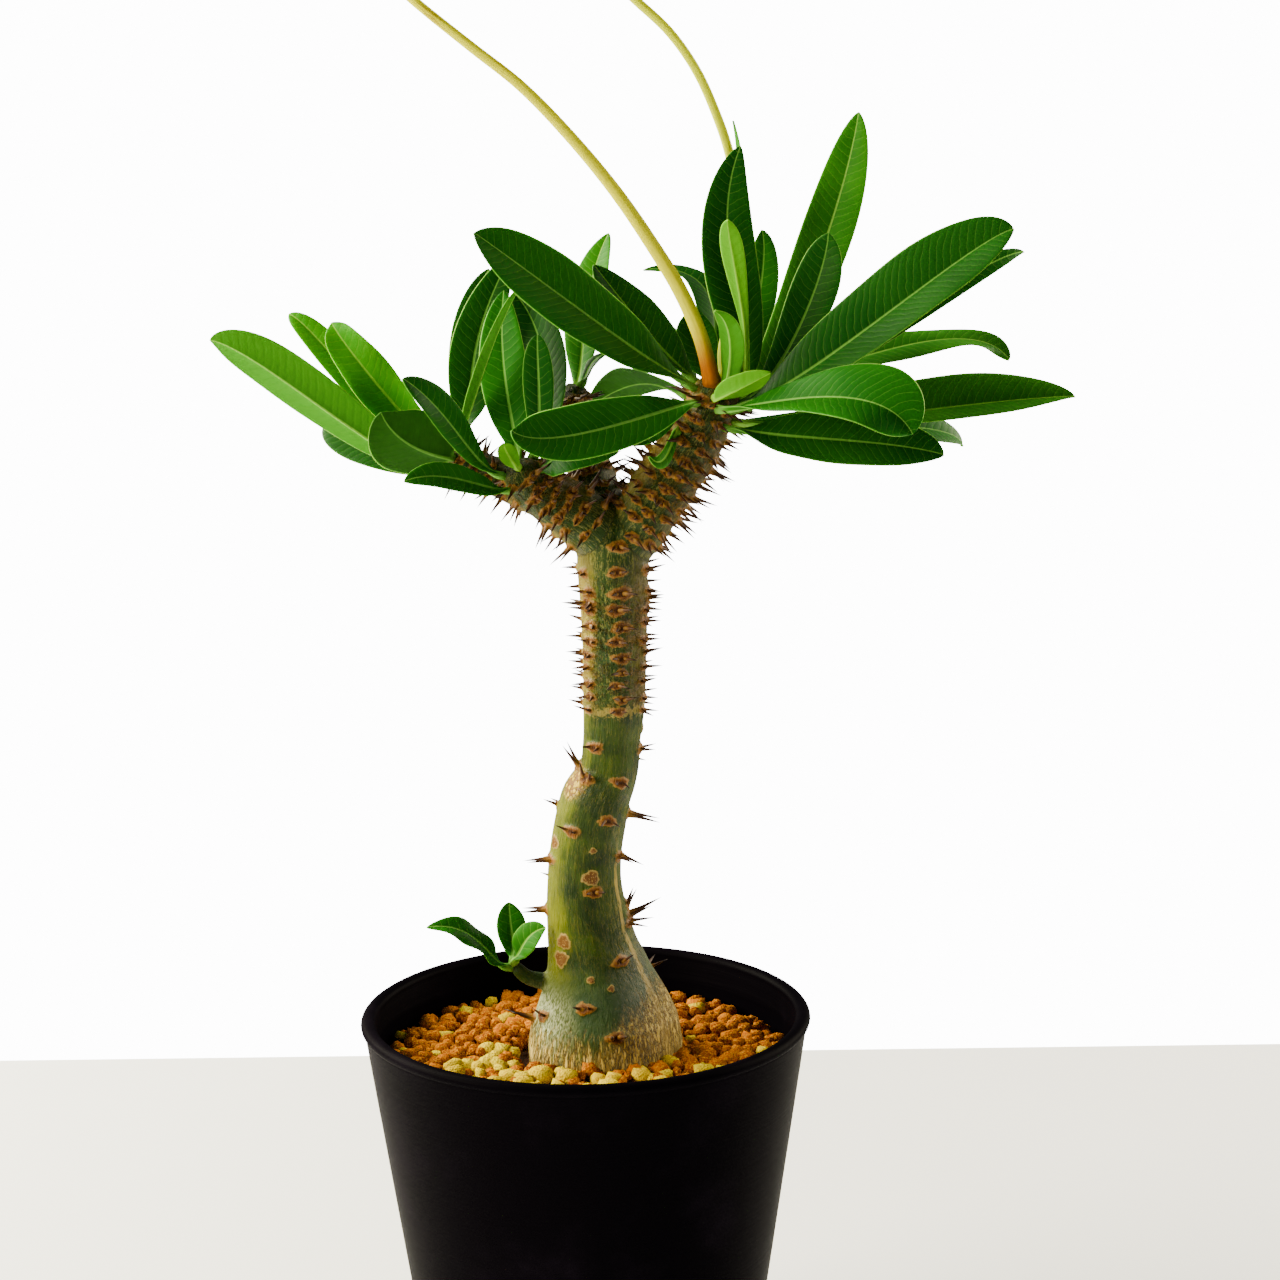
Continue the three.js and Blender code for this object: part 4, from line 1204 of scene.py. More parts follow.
def grit_level(spread):
    share = (spread - CLEAR_OF_FOOT) / (RIM_RADIUS - CLEAR_OF_FOOT)
    return lerp(GRIT_MIDDLE_HEIGHT, GRIT_EDGE_HEIGHT, share)


def grain_shape():
    bm = bmesh.new()
    bmesh.ops.create_cube(bm, size=1.5)
    bmesh.ops.subdivide_edges(bm, edges=bm.edges, cuts=1, use_grid_fill=True)
    for vert in bm.verts:
        vert.co = vert.co.lerp(vert.co.normalized(), 0.72)
    return mesh_of(bm, "grain_shape")


def paleness(x, y, chance):
    """1 for a pale yellow grain and 0 for an orange one."""
    near = 0.0
    for angle, spread, reach in PALE_GATHERINGS:
        centre = compass(angle) * spread
        near = max(near, 1 - math.hypot(x - centre[0], y - centre[1]) / reach)
    return 1.0 if chance < STRAY_PALE + GATHERED_PALE * near else 0.0


def add_grains():
    draw = draws(5)
    shape = grain_shape()
    bm = bmesh.new()
    tone = bm.verts.layers.float_vector.new("tone")
    for layer in GRAIN_LAYERS:
        for i in range(layer["count"]):
            spread = math.sqrt(lerp(GRAIN_RING[0] ** 2, GRAIN_RING[1] ** 2, (i + 0.5) / layer["count"]))
            place = compass(GOLDEN_ANGLE * i + 9 * next(draw)) * spread
            pale = paleness(place[0], place[1], next(draw)) if layer is GRAIN_LAYERS[-1] else 0.0
            radius = lerp(*layer["radius"], next(draw) ** 1.3) * (PALE_LARGER if pale else 1.0)
            spread = min(spread, GRAIN_RING[1] - radius * 0.6)
            place = unit(place) * spread
            level = grit_level(spread) - layer["down"] + LEVEL_SHAKE * next(draw)
            deep = radius * lerp(0.75, 1.1, next(draw))
            tall = radius * lerp(0.65, 0.95, next(draw))
            size = Matrix.Diagonal((radius, deep, tall, 1))
            spin = Matrix.Rotation(6.3 * next(draw), 4, "Z")
            tip = Matrix.Rotation(1.2 * (next(draw) - 0.5), 4, "X")
            verts = add_copy(bm, shape, Matrix.Translation((place[0], place[1], level)) @ (spin @ tip) @ size)
            hue = next(draw)
            for vert in verts:
                dent = Vector((next(draw) - 0.5, next(draw) - 0.5, next(draw) - 0.5))
                vert.co += dent * radius * DENTS
                vert[tone] = (pale, hue, next(draw))
    made = finished("grains", bm, grain_finish(), "grit", "substrate")
    print("grains:", sum(layer["count"] for layer in GRAIN_LAYERS), "with", len(made.data.polygons), "faces")


def grain_finish():
    material, wiring, shader = new_finish("grain", 0.03)
    place = wiring.place()
    _, (pale_at, hue, _) = wiring.attribute("tone")
    speckle = wiring.noise(place, 1.6, 4.0, 0.65)
    pores = wiring.cells(place, 1.7)
    orange = wiring.blend(hue, colour(0.14, 0.022, 0.0001), colour(0.38, 0.098, 0.0001))
    orange = wiring.blend(wiring.step(speckle, 0.42, 0.7), orange, colour(0.54, 0.23, 0.0004))
    pale = wiring.blend(hue, colour(0.54, 0.38, 0.0), colour(0.64, 0.5, 0.001))
    pale = wiring.blend(wiring.step(speckle, 0.5, 0.72), pale, colour(0.4, 0.17, 0.004))
    base = wiring.blend(pale_at, orange, pale)
    base = wiring.coat(base, wiring.step(pores, 0.28, 0.12), colour(0.1, 0.025, 0.001), 0.55)
    relief = wiring.plus(wiring.times(speckle, 0.8), wiring.times(pores, 0.6))
    dress(wiring, shader, base, 0.88, relief, 0.55)
    return material


def painted_shade_bed_finish():
    material, wiring, shader = new_finish("grit_bed")
    speckle = wiring.noise(wiring.place(), 0.5, 4.0)
    mask = wiring.step(speckle, 0.35, 0.65)
    # Painted shade: the bed is dark brown for the shade in the gaps between the grains.
    base = wiring.blend(mask, colour(0.015, 0.004, 0.0006), colour(0.09, 0.025, 0.002))
    dress(wiring, shader, base, 0.95, speckle, 1.2)
    return material


def add_bed():
    foot = FLOOR_TOP + BED_LIFT
    shoulder = pot_wall_radius(BED_SHOULDER) - BED_GAP
    outline = [
        (0, foot), (pot_wall_radius(FLOOR_TOP) - BED_GAP, foot), (shoulder, BED_SHOULDER),
        (shoulder - 0.6, GRIT_EDGE_HEIGHT - BED_DOWN), (0, GRIT_MIDDLE_HEIGHT - BED_DOWN),
    ]
    bm = bmesh.new()
    spun(bm, outline, BED_SIDES)
    finished("grit_bed", bm, painted_shade_bed_finish(), "grit", "substrate")


add_grains()
add_bed()

# %% [markdown]
# Each leaf is a row of a table: the limb it grows from, the seat on that limb, a point that its midrib
# passes, its tip, its width and the roll of the blade. These are the given values of the leaf solids, so
# every finer leaf lies where its solid lies. The last word names its finish: old leaves are dark, young
# ones bright, and some leaves that face the lamps are dark as painted shade.

# %% Table of leaves
LEAVES = [
    ("leaf_right_01", "right", -72, 4.2, (-3, -14, 309), (-24, -18, 325), 20, 50, {}, "full"),
    ("leaf_right_02", "right", -112, 3.4, (17, 6, 300), (5, 12, 315), 15, 30, {}, "dark"),
    ("leaf_right_03", "right", -170, 7.4, (36, 38, 303), (18, 52, 311), 11, 0, {}, "dark"),
    ("leaf_right_04", "right", -132, 6.4, (24, 22.5, 296), (11.5, 35, 301), 11, 0, {}, "dark"),
    ("leaf_right_05", "right", -160, 3.2, (31.5, 10, 294.5), (32, 14, 303), 11, 30, {}, "dark"),
    ("leaf_right_06", "right", -108, 8, (16, 24, 283), (2, 36, 275), 13, 10, {}, "dark"),
    ("leaf_right_07", "right", 112, 1.7, (40.2, 5, 315), (43, 5, 345), 14, 10, {}, "dark"),
    ("leaf_right_08", "right", 168, 5.2, (43, 27, 320), (42, 31, 351), 11, -80, {}, "full"),
    ("leaf_right_09", "right", 147, 3.2, (48, 17.5, 306), (49, 22, 323), 9, 10, {}, "full"),
    ("leaf_right_10", "right", 62, 1.4, (42, -6, 309), (39, -10, 327), 6, 10, {"widest": 0.8}, "young"),
    ("leaf_right_11", "right", 15, 1.8, (39.5, -12, 297), (35.5, -16, 305), 8, 10, {}, "light"),
    ("leaf_right_12", "right", 117, 4.4, (65, 14, 320), (74, 18, 353), 14, 20, {}, "light"),
    ("leaf_right_13", "right", 80, 4.2, (59.5, 0.5, 303.5), (65, 0, 323), 12.5, 55,
     {"fold": 0.14, "widest": 0.68}, "dark"),
    ("leaf_right_14", "right", 47, 5.8, (85, -14, 308), (110, -15, 324), 22.5, 58, {"fold": 0.3}, "dark"),
    ("leaf_right_15", "right", 99, 6.4, (90, 12.5, 303.5), (116, 10, 317), 7, 60, {}, "dark"),
    ("leaf_right_16", "right", 145, 6.8, (87, 22, 292.2), (114, 22, 288), 14, -8,
     {"fold": 0.1, "wave": 0.7}, "light"),
    ("leaf_right_17", "right", 80, 8.8, (90, 6, 276.7), (129, 5, 280), 18, 30,
     {"fold": 0.4, "widest": 0.68}, "light"),
    ("leaf_right_18", "right", 15, 6.5, (64, -36, 285), (82, -46, 277), 21, 60,
     {"fold": 0.3, "widest": 0.74}, "full"),
    ("leaf_right_19", "right", 48, 10, (70, -18, 272), (92, -24, 269), 16, 60, {}, "dark"),
    ("leaf_right_20", "right", 118, 10.5, (84, 22, 271), (103, 34, 264), 12, 20, {}, "full"),
    ("leaf_right_21", "right", -40, 7.4, (2, -28, 276), (-15, -36, 278), 16, 45, {}, "full"),
    ("leaf_right_22", "right", -72, 11, (17, -9, 274.5), (4, -11, 277), 9, 50, {}, "dark"),
    ("leaf_right_23", "right", -46, 16.8, (22.5, -16.4, 268.3), (18.5, -19, 269.1), 4, 30, {}, "light"),
    ("leaf_right_24", "right", 0, 4, (42, -18, 286), (49, -22, 290), 9, 0, {}, "young"),
    ("leaf_left_01", "far_left", -94, 3.4, (-70.7, 0, 284.6), (-93, 0, 298), 14, -52,
     {"fold": 0.4, "widest": 0.62}, "light"),
    ("leaf_left_02", "far_left", -115, 3, (-61, 20, 288), (-76, 28, 302), 9, 10, {}, "young"),
    ("leaf_left_03", "far_left", -140, 1.5, (-53, 10, 287), (-63, 12, 301), 12, 20, {"wave": 1.2}, "young"),
    ("leaf_left_04", "far_left", -15, 2.4, (-41.8, -14, 272.4), (-48, -21, 281.2), 19, 0,
     {"widest": 0.55}, "dark"),
    ("leaf_left_05", "far_left", -140, 5, (-55, 26, 268), (-67, 36, 273), 15, 10, {}, "dark"),
    ("leaf_left_06", "left", -75, 2, (-31, -18, 277.5), (-42, -26, 290), 11, 60, {"widest": 0.66}, "full"),
    ("leaf_left_07", "left", -50, 5, (-30, -22, 264.4), (-42, -30, 265), 8.5, 60, {}, "full"),
    ("leaf_left_08", "left", 0, 1, (-17, -11, 269), (-18, -13, 272), 5, 0, {}, "young"),
    ("leaf_left_09", "left", 115, 2, (-9, -7, 287), (-9, -8, 299), 8, 60, {}, "dark"),
    ("leaf_left_10", "left", 170, 1.5, (-18, 3, 288), (-18, 8, 309), 13, 10, {}, "full"),
    ("leaf_left_11", "far_left", 50, 1.5, (-22, -6, 293), (-14, -7, 310), 9, 10, {}, "light"),
    ("leaf_left_12", "far_left", 100, 1.5, (-26, 12, 293), (-16, 16, 318), 13, 80, {}, "dark"),
    ("leaf_left_13", "far_left", 150, 2, (-29, 24, 293), (-23, 34, 313), 9, 50, {}, "dark"),
    ("leaf_left_14", "back", 160, 2, (3, 26, 303), (9, 34, 322), 12, 10, {}, "light"),
    ("leaf_left_15", "left", 130, 3.2, (-8, 11, 290), (-16, 19, 308), 15, 10, {}, "dark"),
    ("leaf_left_16", "back", 60, 1.5, (4, 12, 289), (8, 12, 292), 4, 50, {}, "dark"),
    ("leaf_left_17", "back", -115, 3, (-7, 16, 286.5), (-11, 17, 287), 4, 10, {}, "dark"),
    ("leaf_left_18", "left", 75, 5, (-2, -14, 270), (11, -18, 270), 14, 30, {}, "dark"),
    ("shoot_leaf_1", "shoot", -70, 1, (-29, -9, 141), (-41, -12, 145), 8, 50, {"wave": 0.8}, "full"),
    ("shoot_leaf_2", "shoot", 150, 0.8, (-19.5, 0, 141), (-20, 2, 147.5), 8, 60, {}, "full"),
    ("shoot_leaf_3", "shoot", 60, 0.8, (-15, -6, 139.5), (-10, -7, 143), 8, 60, {}, "light"),
]
print("leaves:", len(LEAVES))

# %% [markdown]
# A blade is two grids, the upper face and the underside, that meet in a thin margin. Their corners are
# placed by formula: the midrib follows a curve from the seat past the given point to the tip, the width
# swells and runs out in a rounded point, and the two halves rise from the midrib like an open book. The
# upper face has a groove along the midrib and the underside a ridge. Columns of faces are close together at
# the midrib and the margin, where the form turns fastest.

# %% Shape of a leaf
SEAT_GAP = 0.75
BLADE_THICKNESS = 0.5
PETIOLE_THICKNESS = 1.1
PETIOLE_WIDTH = 2.2
COLUMNS = 20
STATIONS = 44
PASSING_SHARE = 0.6
ROLL_SHARE = 0.35
POINTEDNESS = 0.72
WAVES = 2.5
SUNK = 1.4
LEAVING_LEAN = 1.2
LEAVING_LENGTH = 0.2
UPPER_LEAN = 0.5
STATION_CROWDING = 1.3
COLUMN_CROWDING = 0.6
FULL_WAVE = 4
RIPPLE = 0.012
RIB_WIDTH = 0.55
GROOVE_DEPTH = 0.22
RIDGE_DEPTH = 0.5


def column_at(u):
    """Where a column of corners lies across the blade, from -1 to 1."""
    x = 2 * u - 1
    return x - COLUMN_CROWDING * math.sin(2 * math.pi * x) / (2 * math.pi)


def half_width(share, width, widest):
    rise = widest / (1 - widest) * POINTEDNESS
    peak = widest**rise * (1 - widest) ** POINTEDNESS
    blade = width / 2 * share**rise * (1 - share) ** POINTEDNESS / peak
    petiole = PETIOLE_WIDTH / 2 * float(smoothstep(-share, -0.5, -0.1))
    return math.hypot(blade, petiole)


def leaf_midrib(seat, outward, passed, tip):
    """A Bezier curve that leaves the limb outwards, passes the given point and ends at the tip."""
    start = unit(outward + LEAVING_LEAN * unit(passed - seat))
    first = seat + start * LEAVING_LENGTH * np.linalg.norm(tip - seat)
    t, u = PASSING_SHARE, 1 - PASSING_SHARE
    second = (passed - u**3 * seat - 3 * u * u * t * first - t**3 * tip) / (3 * u * t * t)

    def at(share):
        t, u = share, 1 - share
        point = u**3 * seat + 3 * u * u * t * first + 3 * u * t * t * second + t**3 * tip
        along = u * u * (first - seat) + 2 * u * t * (second - first) + t * t * (tip - second)
        return point, unit(along)

    return at


def leaf_stations(limb, angle, below, passed, tip, width, roll, widest):
    """The frames that the blade's corners are placed in, one for each row of corners."""
    seat, outward, axis, _ = seat_on(limb, angle, below, SEAT_GAP)
    passed, tip = np.array(passed, float), np.array(tip, float)
    midrib = leaf_midrib(seat, outward, passed, tip)
    upper = axis - UPPER_LEAN * outward
    chord = unit(tip - seat)
    unrolled = square_to(upper, chord)
    frontward = np.cross(chord, unrolled)
    if frontward[1] > 0:
        frontward = -frontward
    turned = math.radians(roll)
    rolled = math.cos(turned) * unrolled + math.sin(turned) * frontward
    rows, reached, last = [], 0.0, None
    for station in range(STATIONS + 1):
        share = 1 - (1 - station / STATIONS) ** STATION_CROWDING
        point, along = midrib(share)
        normal = square_to(lerp(unit(upper), rolled, smoothstep(share, 0, ROLL_SHARE)), along)
        if station == 0:
            point = point - SUNK * along
        reached += 0 if last is None else np.linalg.norm(point - last)
        last = point
        half = half_width(share, width, widest)
        rows.append((point, np.cross(along, normal), normal, half, share, reached))
    return rows


def leaf_mesh(limb, angle, below, passed, tip, width, roll, fold=0.18, wave=0.0, widest=0.6, seed=1):
    """A closed blade. Two attributes say where each corner lies on it: in millimetres and in shares."""
    rows = leaf_stations(limb, angle, below, passed, tip, width, roll, widest)
    draw = draws(seed)
    phases = [2 * math.pi * next(draw) for _ in range(2)]
    ripple = RIPPLE * width
    bm = bmesh.new()
    blade = bm.verts.layers.float_vector.new("blade")
    shares = bm.verts.layers.float_vector.new("shares")

    def arch(column, half, share):
        """How high the blade stands above its midrib: its fold, and the waves of its margin."""
        right = column > 0
        edge = wave * math.sin(2 * math.pi * WAVES * share + (math.pi / 2 if right else 0))
        edge *= min(1, half / FULL_WAVE)
        edge += ripple * math.sin(11 * share + phases[0] + (2 if right else 0))
        edge += 0.5 * ripple * math.sin(23 * share + phases[1] + (1 if right else 0))
        return half * fold * (1.5 * abs(column) - 0.5 * column**2) + edge * column**2

    def relief(column, half, share, facing):
        """Half the thickness, with a groove along the midrib above and a ridge below."""
        thick = BLADE_THICKNESS + PETIOLE_THICKNESS * math.exp(-9 * share)
        thick *= math.sqrt(max(0.0, 1 - abs(column) ** 6))
        rib = math.exp(-((column * half / RIB_WIDTH) ** 2)) * (1 - share)
        return facing * thick / 2 - (GROOVE_DEPTH if facing > 0 else RIDGE_DEPTH) * rib

    for facing in (1, -1):
        sheet = grid(bm, COLUMNS, STATIONS)
        for vert, u, v in sheet:
            point, across, normal, half, share, reached = rows[round(v * STATIONS)]
            column = column_at(u)
            on_margin = abs(2 * u - 1) > 0.999
            under = 0.5 if on_margin else (0.0 if facing > 0 else 1.0)
            vert[blade] = (column * half, reached, under)
            vert[shares] = (column, share, half)
            rise = arch(column, half, share) + relief(column, half, share, facing)
            vert.co = point + across * column * half + normal * rise
        if facing < 0:
            faces = {face for vert, _, _ in sheet for face in vert.link_faces}
            bmesh.ops.reverse_faces(bm, faces=list(faces))
    bmesh.ops.remove_doubles(bm, verts=bm.verts, dist=0.004)
    bmesh.ops.holes_fill(bm, edges=bm.edges, sides=0)
    bmesh.ops.recalc_face_normals(bm, faces=bm.faces)
    return bm


# %% [markdown]
# The look of a blade is one node group, shared by every leaf and fed with the colours of its finish. It
# reads the attributes of the blade: side veins leave the midrib nearly square and bend forward, each with a
# thin pale line and a groove; the midrib and the margin are pale; the underside is lighter, duller and
# greyer.
# Broad noise keeps two leaves from being the same green.

# %% Pattern of a blade
LEAF_INPUTS = ("Blade", "Light", "Rib", "Under")
VEIN_SPACING = 2.3
VEIN_FORWARD = 0.42


def blade_pattern():
    group = bpy.data.node_groups.new("blade_pattern", "ShaderNodeTree")
    face = group.interface
    for name in LEAF_INPUTS:
        face.new_socket(name=name, in_out="INPUT", socket_type="NodeSocketColor")
    face.new_socket(name="Colour", in_out="OUTPUT", socket_type="NodeSocketColor")
    face.new_socket(name="Roughness", in_out="OUTPUT", socket_type="NodeSocketFloat")
    face.new_socket(name="Height", in_out="OUTPUT", socket_type="NodeSocketFloat")
    wiring = Wiring(group)
    given = group.nodes.new("NodeGroupInput").outputs
    _, (aside, reached, under_at) = wiring.attribute("blade")
    _, (column, share, _) = wiring.attribute("shares")
    place = wiring.place()

    across, outer = wiring.size_of(aside), wiring.size_of(column)
    wobble = wiring.swing(wiring.noise(place, 0.22, 2.0), 2.2)
    bent = wiring.times(wiring.math("POWER", across, 1.25), VEIN_FORWARD)
    run = wiring.minus(wiring.plus(reached, wobble), bent)
    cycle = wiring.math("FRACT", wiring.math("DIVIDE", run, VEIN_SPACING))
    vein = wiring.times(wiring.line(cycle, 0.05, 0.0), wiring.step(outer, 0.97, 0.7))
    hollow = wiring.line(cycle, 0.34, 0.0)
    rib_width = wiring.plus(wiring.times(wiring.minus(1.0, share), 0.42), 0.14)
    rib = wiring.step(wiring.math("DIVIDE", across, rib_width), 1.25, 0.6)
    margin = wiring.step(outer, 0.955, 0.985)
    stem = wiring.step(share, 0.12, 0.02)

    broad = wiring.noise(place, 0.05, 2.0)
    fine = wiring.noise(place, 1.4, 3.0, 0.6)
    top = wiring.coat(given["Blade"], wiring.step(broad, 0.35, 0.7), given["Light"], 0.5)
    top = wiring.coat(top, wiring.step(outer, 0.55, 1.0), given["Light"], 0.3)
    top = wiring.coat(top, vein, given["Rib"], 0.34)
    under = wiring.coat(given["Under"], vein, given["Blade"], 0.3)
    base = wiring.blend(under_at, top, under)
    for mask, most in ((rib, 0.9), (margin, 0.65), (stem, 0.8)):
        base = wiring.coat(base, mask, given["Rib"], most)

    rough = wiring.plus(wiring.times(under_at, 0.35), wiring.times(fine, 0.16))
    result = group.nodes.new("NodeGroupOutput").inputs
    wiring.feed(result["Colour"], base)
    wiring.feed(result["Roughness"], wiring.plus(rough, 0.4))
    wiring.feed(result["Height"], wiring.plus(wiring.minus(1.0, hollow), wiring.times(fine, 0.25)))
    return group


# %% [markdown]
# The finishes of the leaves differ only in the four colours that they give the pattern: the blade, its
# lighter patches, the midrib and the underside. They follow the age of a leaf, and the dark one is also
# painted shade on some leaves that face the lamps. The blade lets light through: subsurface scattering in
# so thin a shell makes it glow yellow-green where the window is behind it.

# %% Finishes of the leaves
LEAF_COLOURS = {
    # The dark green is also painted shade on some leaves that face the lamps.
    "dark": ((0.002, 0.042, 0.0006), (0.006, 0.072, 0.001), (0.09, 0.24, 0.03), (0.012, 0.07, 0.003)),
    "full": ((0.004, 0.085, 0.0006), (0.012, 0.14, 0.0015), (0.14, 0.36, 0.05), (0.02, 0.12, 0.004)),
    "light": ((0.012, 0.12, 0.0008), (0.035, 0.21, 0.0015), (0.2, 0.44, 0.05), (0.04, 0.2, 0.006)),
    "young": ((0.03, 0.23, 0.0008), (0.08, 0.34, 0.0015), (0.22, 0.48, 0.03), (0.09, 0.33, 0.004)),
}


FIRST_SEED = 40


def leaf_finish(name, pattern):
    material, wiring, shader = new_finish("leaf_" + name, 0.05)
    looks = wiring.node("Group", node_tree=pattern)
    for socket, value in zip(LEAF_INPUTS, LEAF_COLOURS[name]):
        looks.inputs[socket].default_value = colour(*value)
    base, rough, height = looks.outputs
    dress(wiring, shader, base, rough, height, 0.035)
    glow(shader, 0.3, (0.55, 1.0, 0.2), 0.9)
    return material


pattern = blade_pattern()
leaf_finishes = {name: leaf_finish(name, pattern) for name in LEAF_COLOURS}


def add_leaves():
    faces = 0
    for number, (name, *shape, extras, finish) in enumerate(LEAVES):
        bm = leaf_mesh(*shape, **extras, seed=number + FIRST_SEED)
        made = finished(name.replace("leaf", "blade"), bm, leaf_finishes[finish], "leaf", name)
        faces += len(made.data.polygons)
    print("leaf faces:", faces)


add_leaves()

# %% [markdown]
# The flower stalks are smooth tapering rods that leave the right head. The front one is the older: brown
# where it leaves the head, yellow along its middle and drying to brown streaks further up. The back one is
# fresh yellow-green. Each corner stores how far along its rod it lies, and on which side, to drive those
# colours.

# %% Flower stalks
FRONT_STALK = {
    "foot": (-40, 1),
    "points": [
        (32, -8.5, 298), (27, -6.5, 309.5), (19.5, -6, 322), (11, -6, 334.5), (0, -6, 348), (-12, -6, 360.5),
        (-24.5, -6, 370.5), (-38.5, -6, 382), (-51, -6, 394), (-58, -6, 406), (-60, -6, 418),
    ],
    "radii": (2, 0.9),
}
BACK_STALK = {
    "foot": (175, 1),
    "points": [
        (38, 2.5, 292.5), (40, 8, 301), (43, 11, 315), (42.5, 12, 330), (40.3, 12, 343), (37, 12, 353),
        (32, 11, 364), (25.3, 10, 373.5), (16.3, 9, 382), (7, 8, 391), (1, 8, 401), (-1, 8, 412),
    ],
    "radii": (1.4, 1.1),
}
STALK_GAP = 0.35
STALK_SIDES = 20
STALK_RINGS = 90
STALK_SUNK = 0.9
FOOT_SWELLING = 0.25
STALK_RIDGES = 0.03


def stalk_line(stalk):
    seat, _, _, normal = seat_on("right", *stalk["foot"], STALK_GAP)
    return CentreLine([seat, seat + normal * stalk["radii"][0], *stalk["points"]])


def stalk_finish(name, foot, middle, end, dry):
    """Colours at the foot, in the middle and at the end, and how strongly dry streaks show."""
    material, wiring, shader = new_finish(name, 0.05)
    rod, (_, _, along) = wiring.attribute("rod")
    streak = wiring.noise(wiring.stretched(rod, (1.2, 1.2, 0.1)), 1.0, 4.0, 0.6)
    base = wiring.blend(wiring.step(along, 3.0, 18.0), colour(*foot), colour(*middle))
    base = wiring.blend(wiring.step(along, 30.0, 130.0), base, colour(*end))
    patch = wiring.times(wiring.step(streak, 0.52, 0.66), wiring.step(along, 75.0, 120.0))
    base = wiring.coat(base, patch, colour(0.22, 0.075, 0.006), dry)
    dress(wiring, shader, base, wiring.plus(wiring.times(streak, 0.3), 0.28), streak, 0.25)
    glow(shader, 0.1, (1.0, 0.8, 0.2), 0.9)
    return material


def add_stalk(name, stalk, finish):
    line = stalk_line(stalk)
    bm = bmesh.new()
    rod = bm.verts.layers.float_vector.new("rod")
    for vert, u, v in grid(bm, STALK_SIDES, STALK_RINGS):
        ring = round(v * STALK_RINGS)
        along = min(1.0, max(0.0, (ring - 1) / (STALK_RINGS - 2)))
        axis = line.direction(along)
        angle = 2 * math.pi * u
        radius = 0 if ring in (0, STALK_RINGS) else lerp(*stalk["radii"], along)
        swelling = FOOT_SWELLING * math.exp(-along * line.length / 2.5)
        radius *= 1 + swelling + STALK_RIDGES * math.sin(4 * angle + 9 * along)
        out = round_axis(axis, compass(180), angle)
        vert[rod] = (math.cos(angle) * radius, math.sin(angle) * radius, along * line.length)
        vert.co = line.point(along) + radius * out - axis * (STALK_SUNK if ring < 2 else 0)
    close(bm)
    made = finished(name.replace("flower_", ""), bm, finish, "stalk", name)
    print(made.name, "length in mm:", round(line.length))


add_stalk(
    "flower_stalk_front", FRONT_STALK,
    stalk_finish("stalk_front", (0.34, 0.1, 0.0002), (0.62, 0.6, 0.0), (0.62, 0.62, 0.0), 0.5),
)
add_stalk(
    "flower_stalk_back", BACK_STALK,
    stalk_finish("stalk_back", (0.26, 0.34, 0.0), (0.56, 0.62, 0.0), (0.6, 0.66, 0.0), 0.1),
)

# %% [markdown]
# The photograph cuts the stalks off at its upper edge, so their ends are finished the way this kind of
# plant ends them: a loose head of closed buds. Each bud is a slim turned cone on a short stem, with a
# swollen calyx and a spiral twist, because its petals are rolled. Directions and lengths come from the same
# draws as the solids.

# %% Closed buds
BUD_COUNT = 6
BUD_LENGTH = (8, 15)
BUD_RADIUS = 1.6
BUD_STEM_RADIUS = 0.55
BUD_STEM_SHARE = 0.35
BUD_LEAN = (28, 50)
KNOB_RADIUS = 1.8
KNOB_DOWN = 0.7
BUD_SWELL = 0.82
CALYX_SWELL = 0.35
CALYX_AT = 0.12
CALYX_WIDTH = 0.1
PETALS = 5
PETAL_TWIST = 7
PETAL_RISE = 0.12
BUD_SIDES = 15
BUD_RINGS = 26


def bud_outline(along):
    """The radius of a bud at a share of its whole length, from its stem to its tip."""
    stem = BUD_STEM_SHARE
    if along < stem:
        return BUD_STEM_RADIUS * (1 + 0.35 * (along / stem) ** 6)
    blade = (along - stem) / (1 - stem)
    swell = BUD_SWELL * max(0, math.sin(math.pi * min(1, blade * 1.15) ** 0.62))
    calyx = CALYX_SWELL * math.exp(-(((blade - CALYX_AT) / CALYX_WIDTH) ** 2))
    return max(0.0, BUD_RADIUS * (swell + calyx) + BUD_STEM_RADIUS * (1 - blade) ** 2)


def add_bud(bm, store, centre, direction, length):
    sheet = grid(bm, BUD_SIDES, BUD_RINGS)
    for vert, u, v in sheet:
        at_end = round(v * BUD_RINGS) in (0, BUD_RINGS)
        blade = max(0.0, (v - BUD_STEM_SHARE) / (1 - BUD_STEM_SHARE))
        angle = 2 * math.pi * u
        twist = math.sin(PETALS * angle + PETAL_TWIST * blade)
        ridge = 1 + PETAL_RISE * twist * float(smoothstep(blade, 0.1, 0.4))
        radius = 0 if at_end else bud_outline(v) * ridge
        vert[store] = (blade, twist, v)
        vert.co = (radius * math.cos(angle), radius * math.sin(angle), v * length)
    turn = Matrix.Translation(Vector(centre)) @ turned_to(direction)
    bmesh.ops.transform(bm, matrix=turn, verts=[vert for vert, _, _ in sheet])


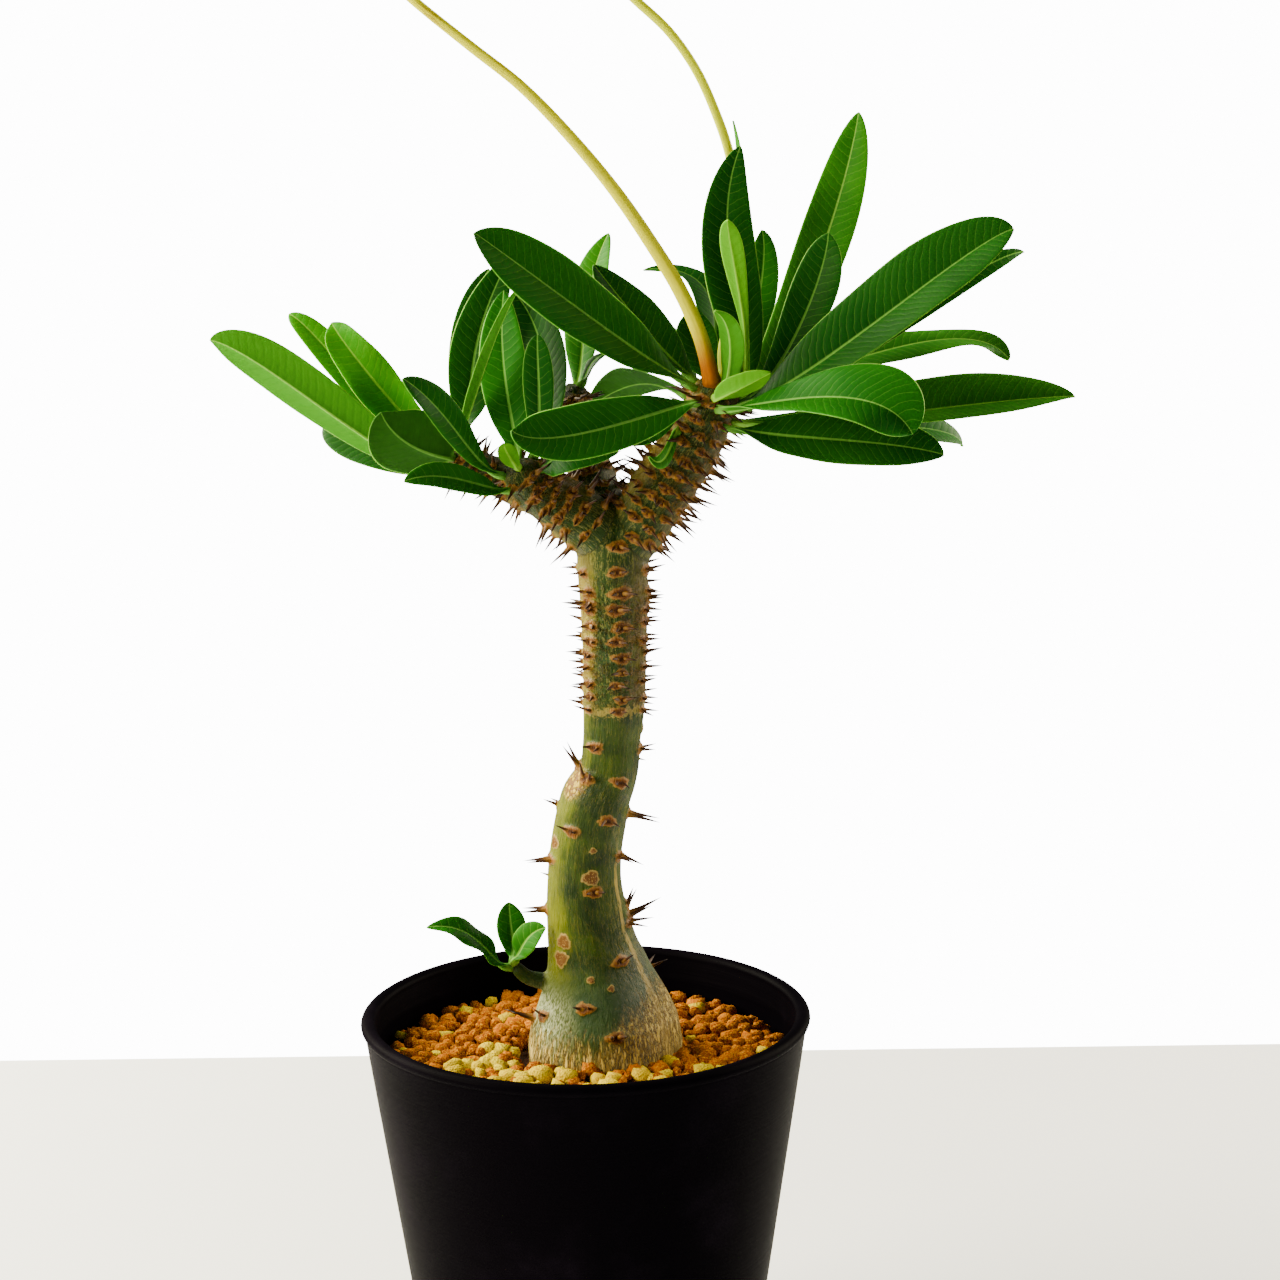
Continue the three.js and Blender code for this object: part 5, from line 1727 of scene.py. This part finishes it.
def bud_finish():
    material, wiring, shader = new_finish("bud")
    _, (blade, twist, _) = wiring.attribute("bud")
    mottle = wiring.noise(wiring.place(), 0.9, 3.0)
    base = wiring.blend(mottle, colour(0.22, 0.36, 0.05), colour(0.34, 0.5, 0.08))
    base = wiring.blend(wiring.step(blade, 0.15, 0.5), base, colour(0.6, 0.62, 0.2))
    base = wiring.coat(base, wiring.step(twist, 0.2, 0.9), colour(0.66, 0.5, 0.24), 0.35)
    dress(wiring, shader, base, wiring.plus(wiring.times(mottle, 0.2), 0.35), mottle, 0.12)
    glow(shader, 0.25, (1.0, 0.2, 0.1), 0.8)
    return material


def add_bud_head(name, stalk, seed, finish):
    draw = draws(seed)
    end, before = np.array(stalk["points"][-1], float), np.array(stalk["points"][-2], float)
    axis = unit(end - before)
    centre = end + axis * (KNOB_RADIUS + STALK_GAP)
    bm = bmesh.new()
    store = bm.verts.layers.float_vector.new("bud")
    knob = bmesh.ops.create_uvsphere(bm, u_segments=16, v_segments=10, radius=KNOB_RADIUS)["verts"]
    bmesh.ops.translate(bm, vec=centre - KNOB_DOWN * axis, verts=knob)
    for number in range(BUD_COUNT):
        lean = 0 if number == 0 else math.radians(lerp(*BUD_LEAN, next(draw)))
        around = square_to(compass(360 * number / (BUD_COUNT - 1) + 20 * next(draw)), axis)
        direction = math.cos(lean) * axis + math.sin(lean) * around
        add_bud(bm, store, centre, direction, lerp(*BUD_LENGTH, next(draw)))
    close(bm)
    finished(name.replace("flower_", ""), bm, finish, "bud", name)


buds = bud_finish()
add_bud_head("flower_buds_front", FRONT_STALK, 3, buds)
add_bud_head("flower_buds_back", BACK_STALK, 4, buds)

# %% [markdown]
# Last, the box of the dressed plant is written down beside the box of its solids. The two should agree to
# within a few hundredths of each side.

# %% Sizes
dressed_box = [list(corner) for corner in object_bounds()]
for axis, low, high, dressed_low, dressed_high in zip("xyz", *cad_box, *dressed_box):
    past = [round(part / MM, 2) for part in (low - dressed_low, dressed_high - high)]
    print(axis, "past the solids in mm, below and above:", past)
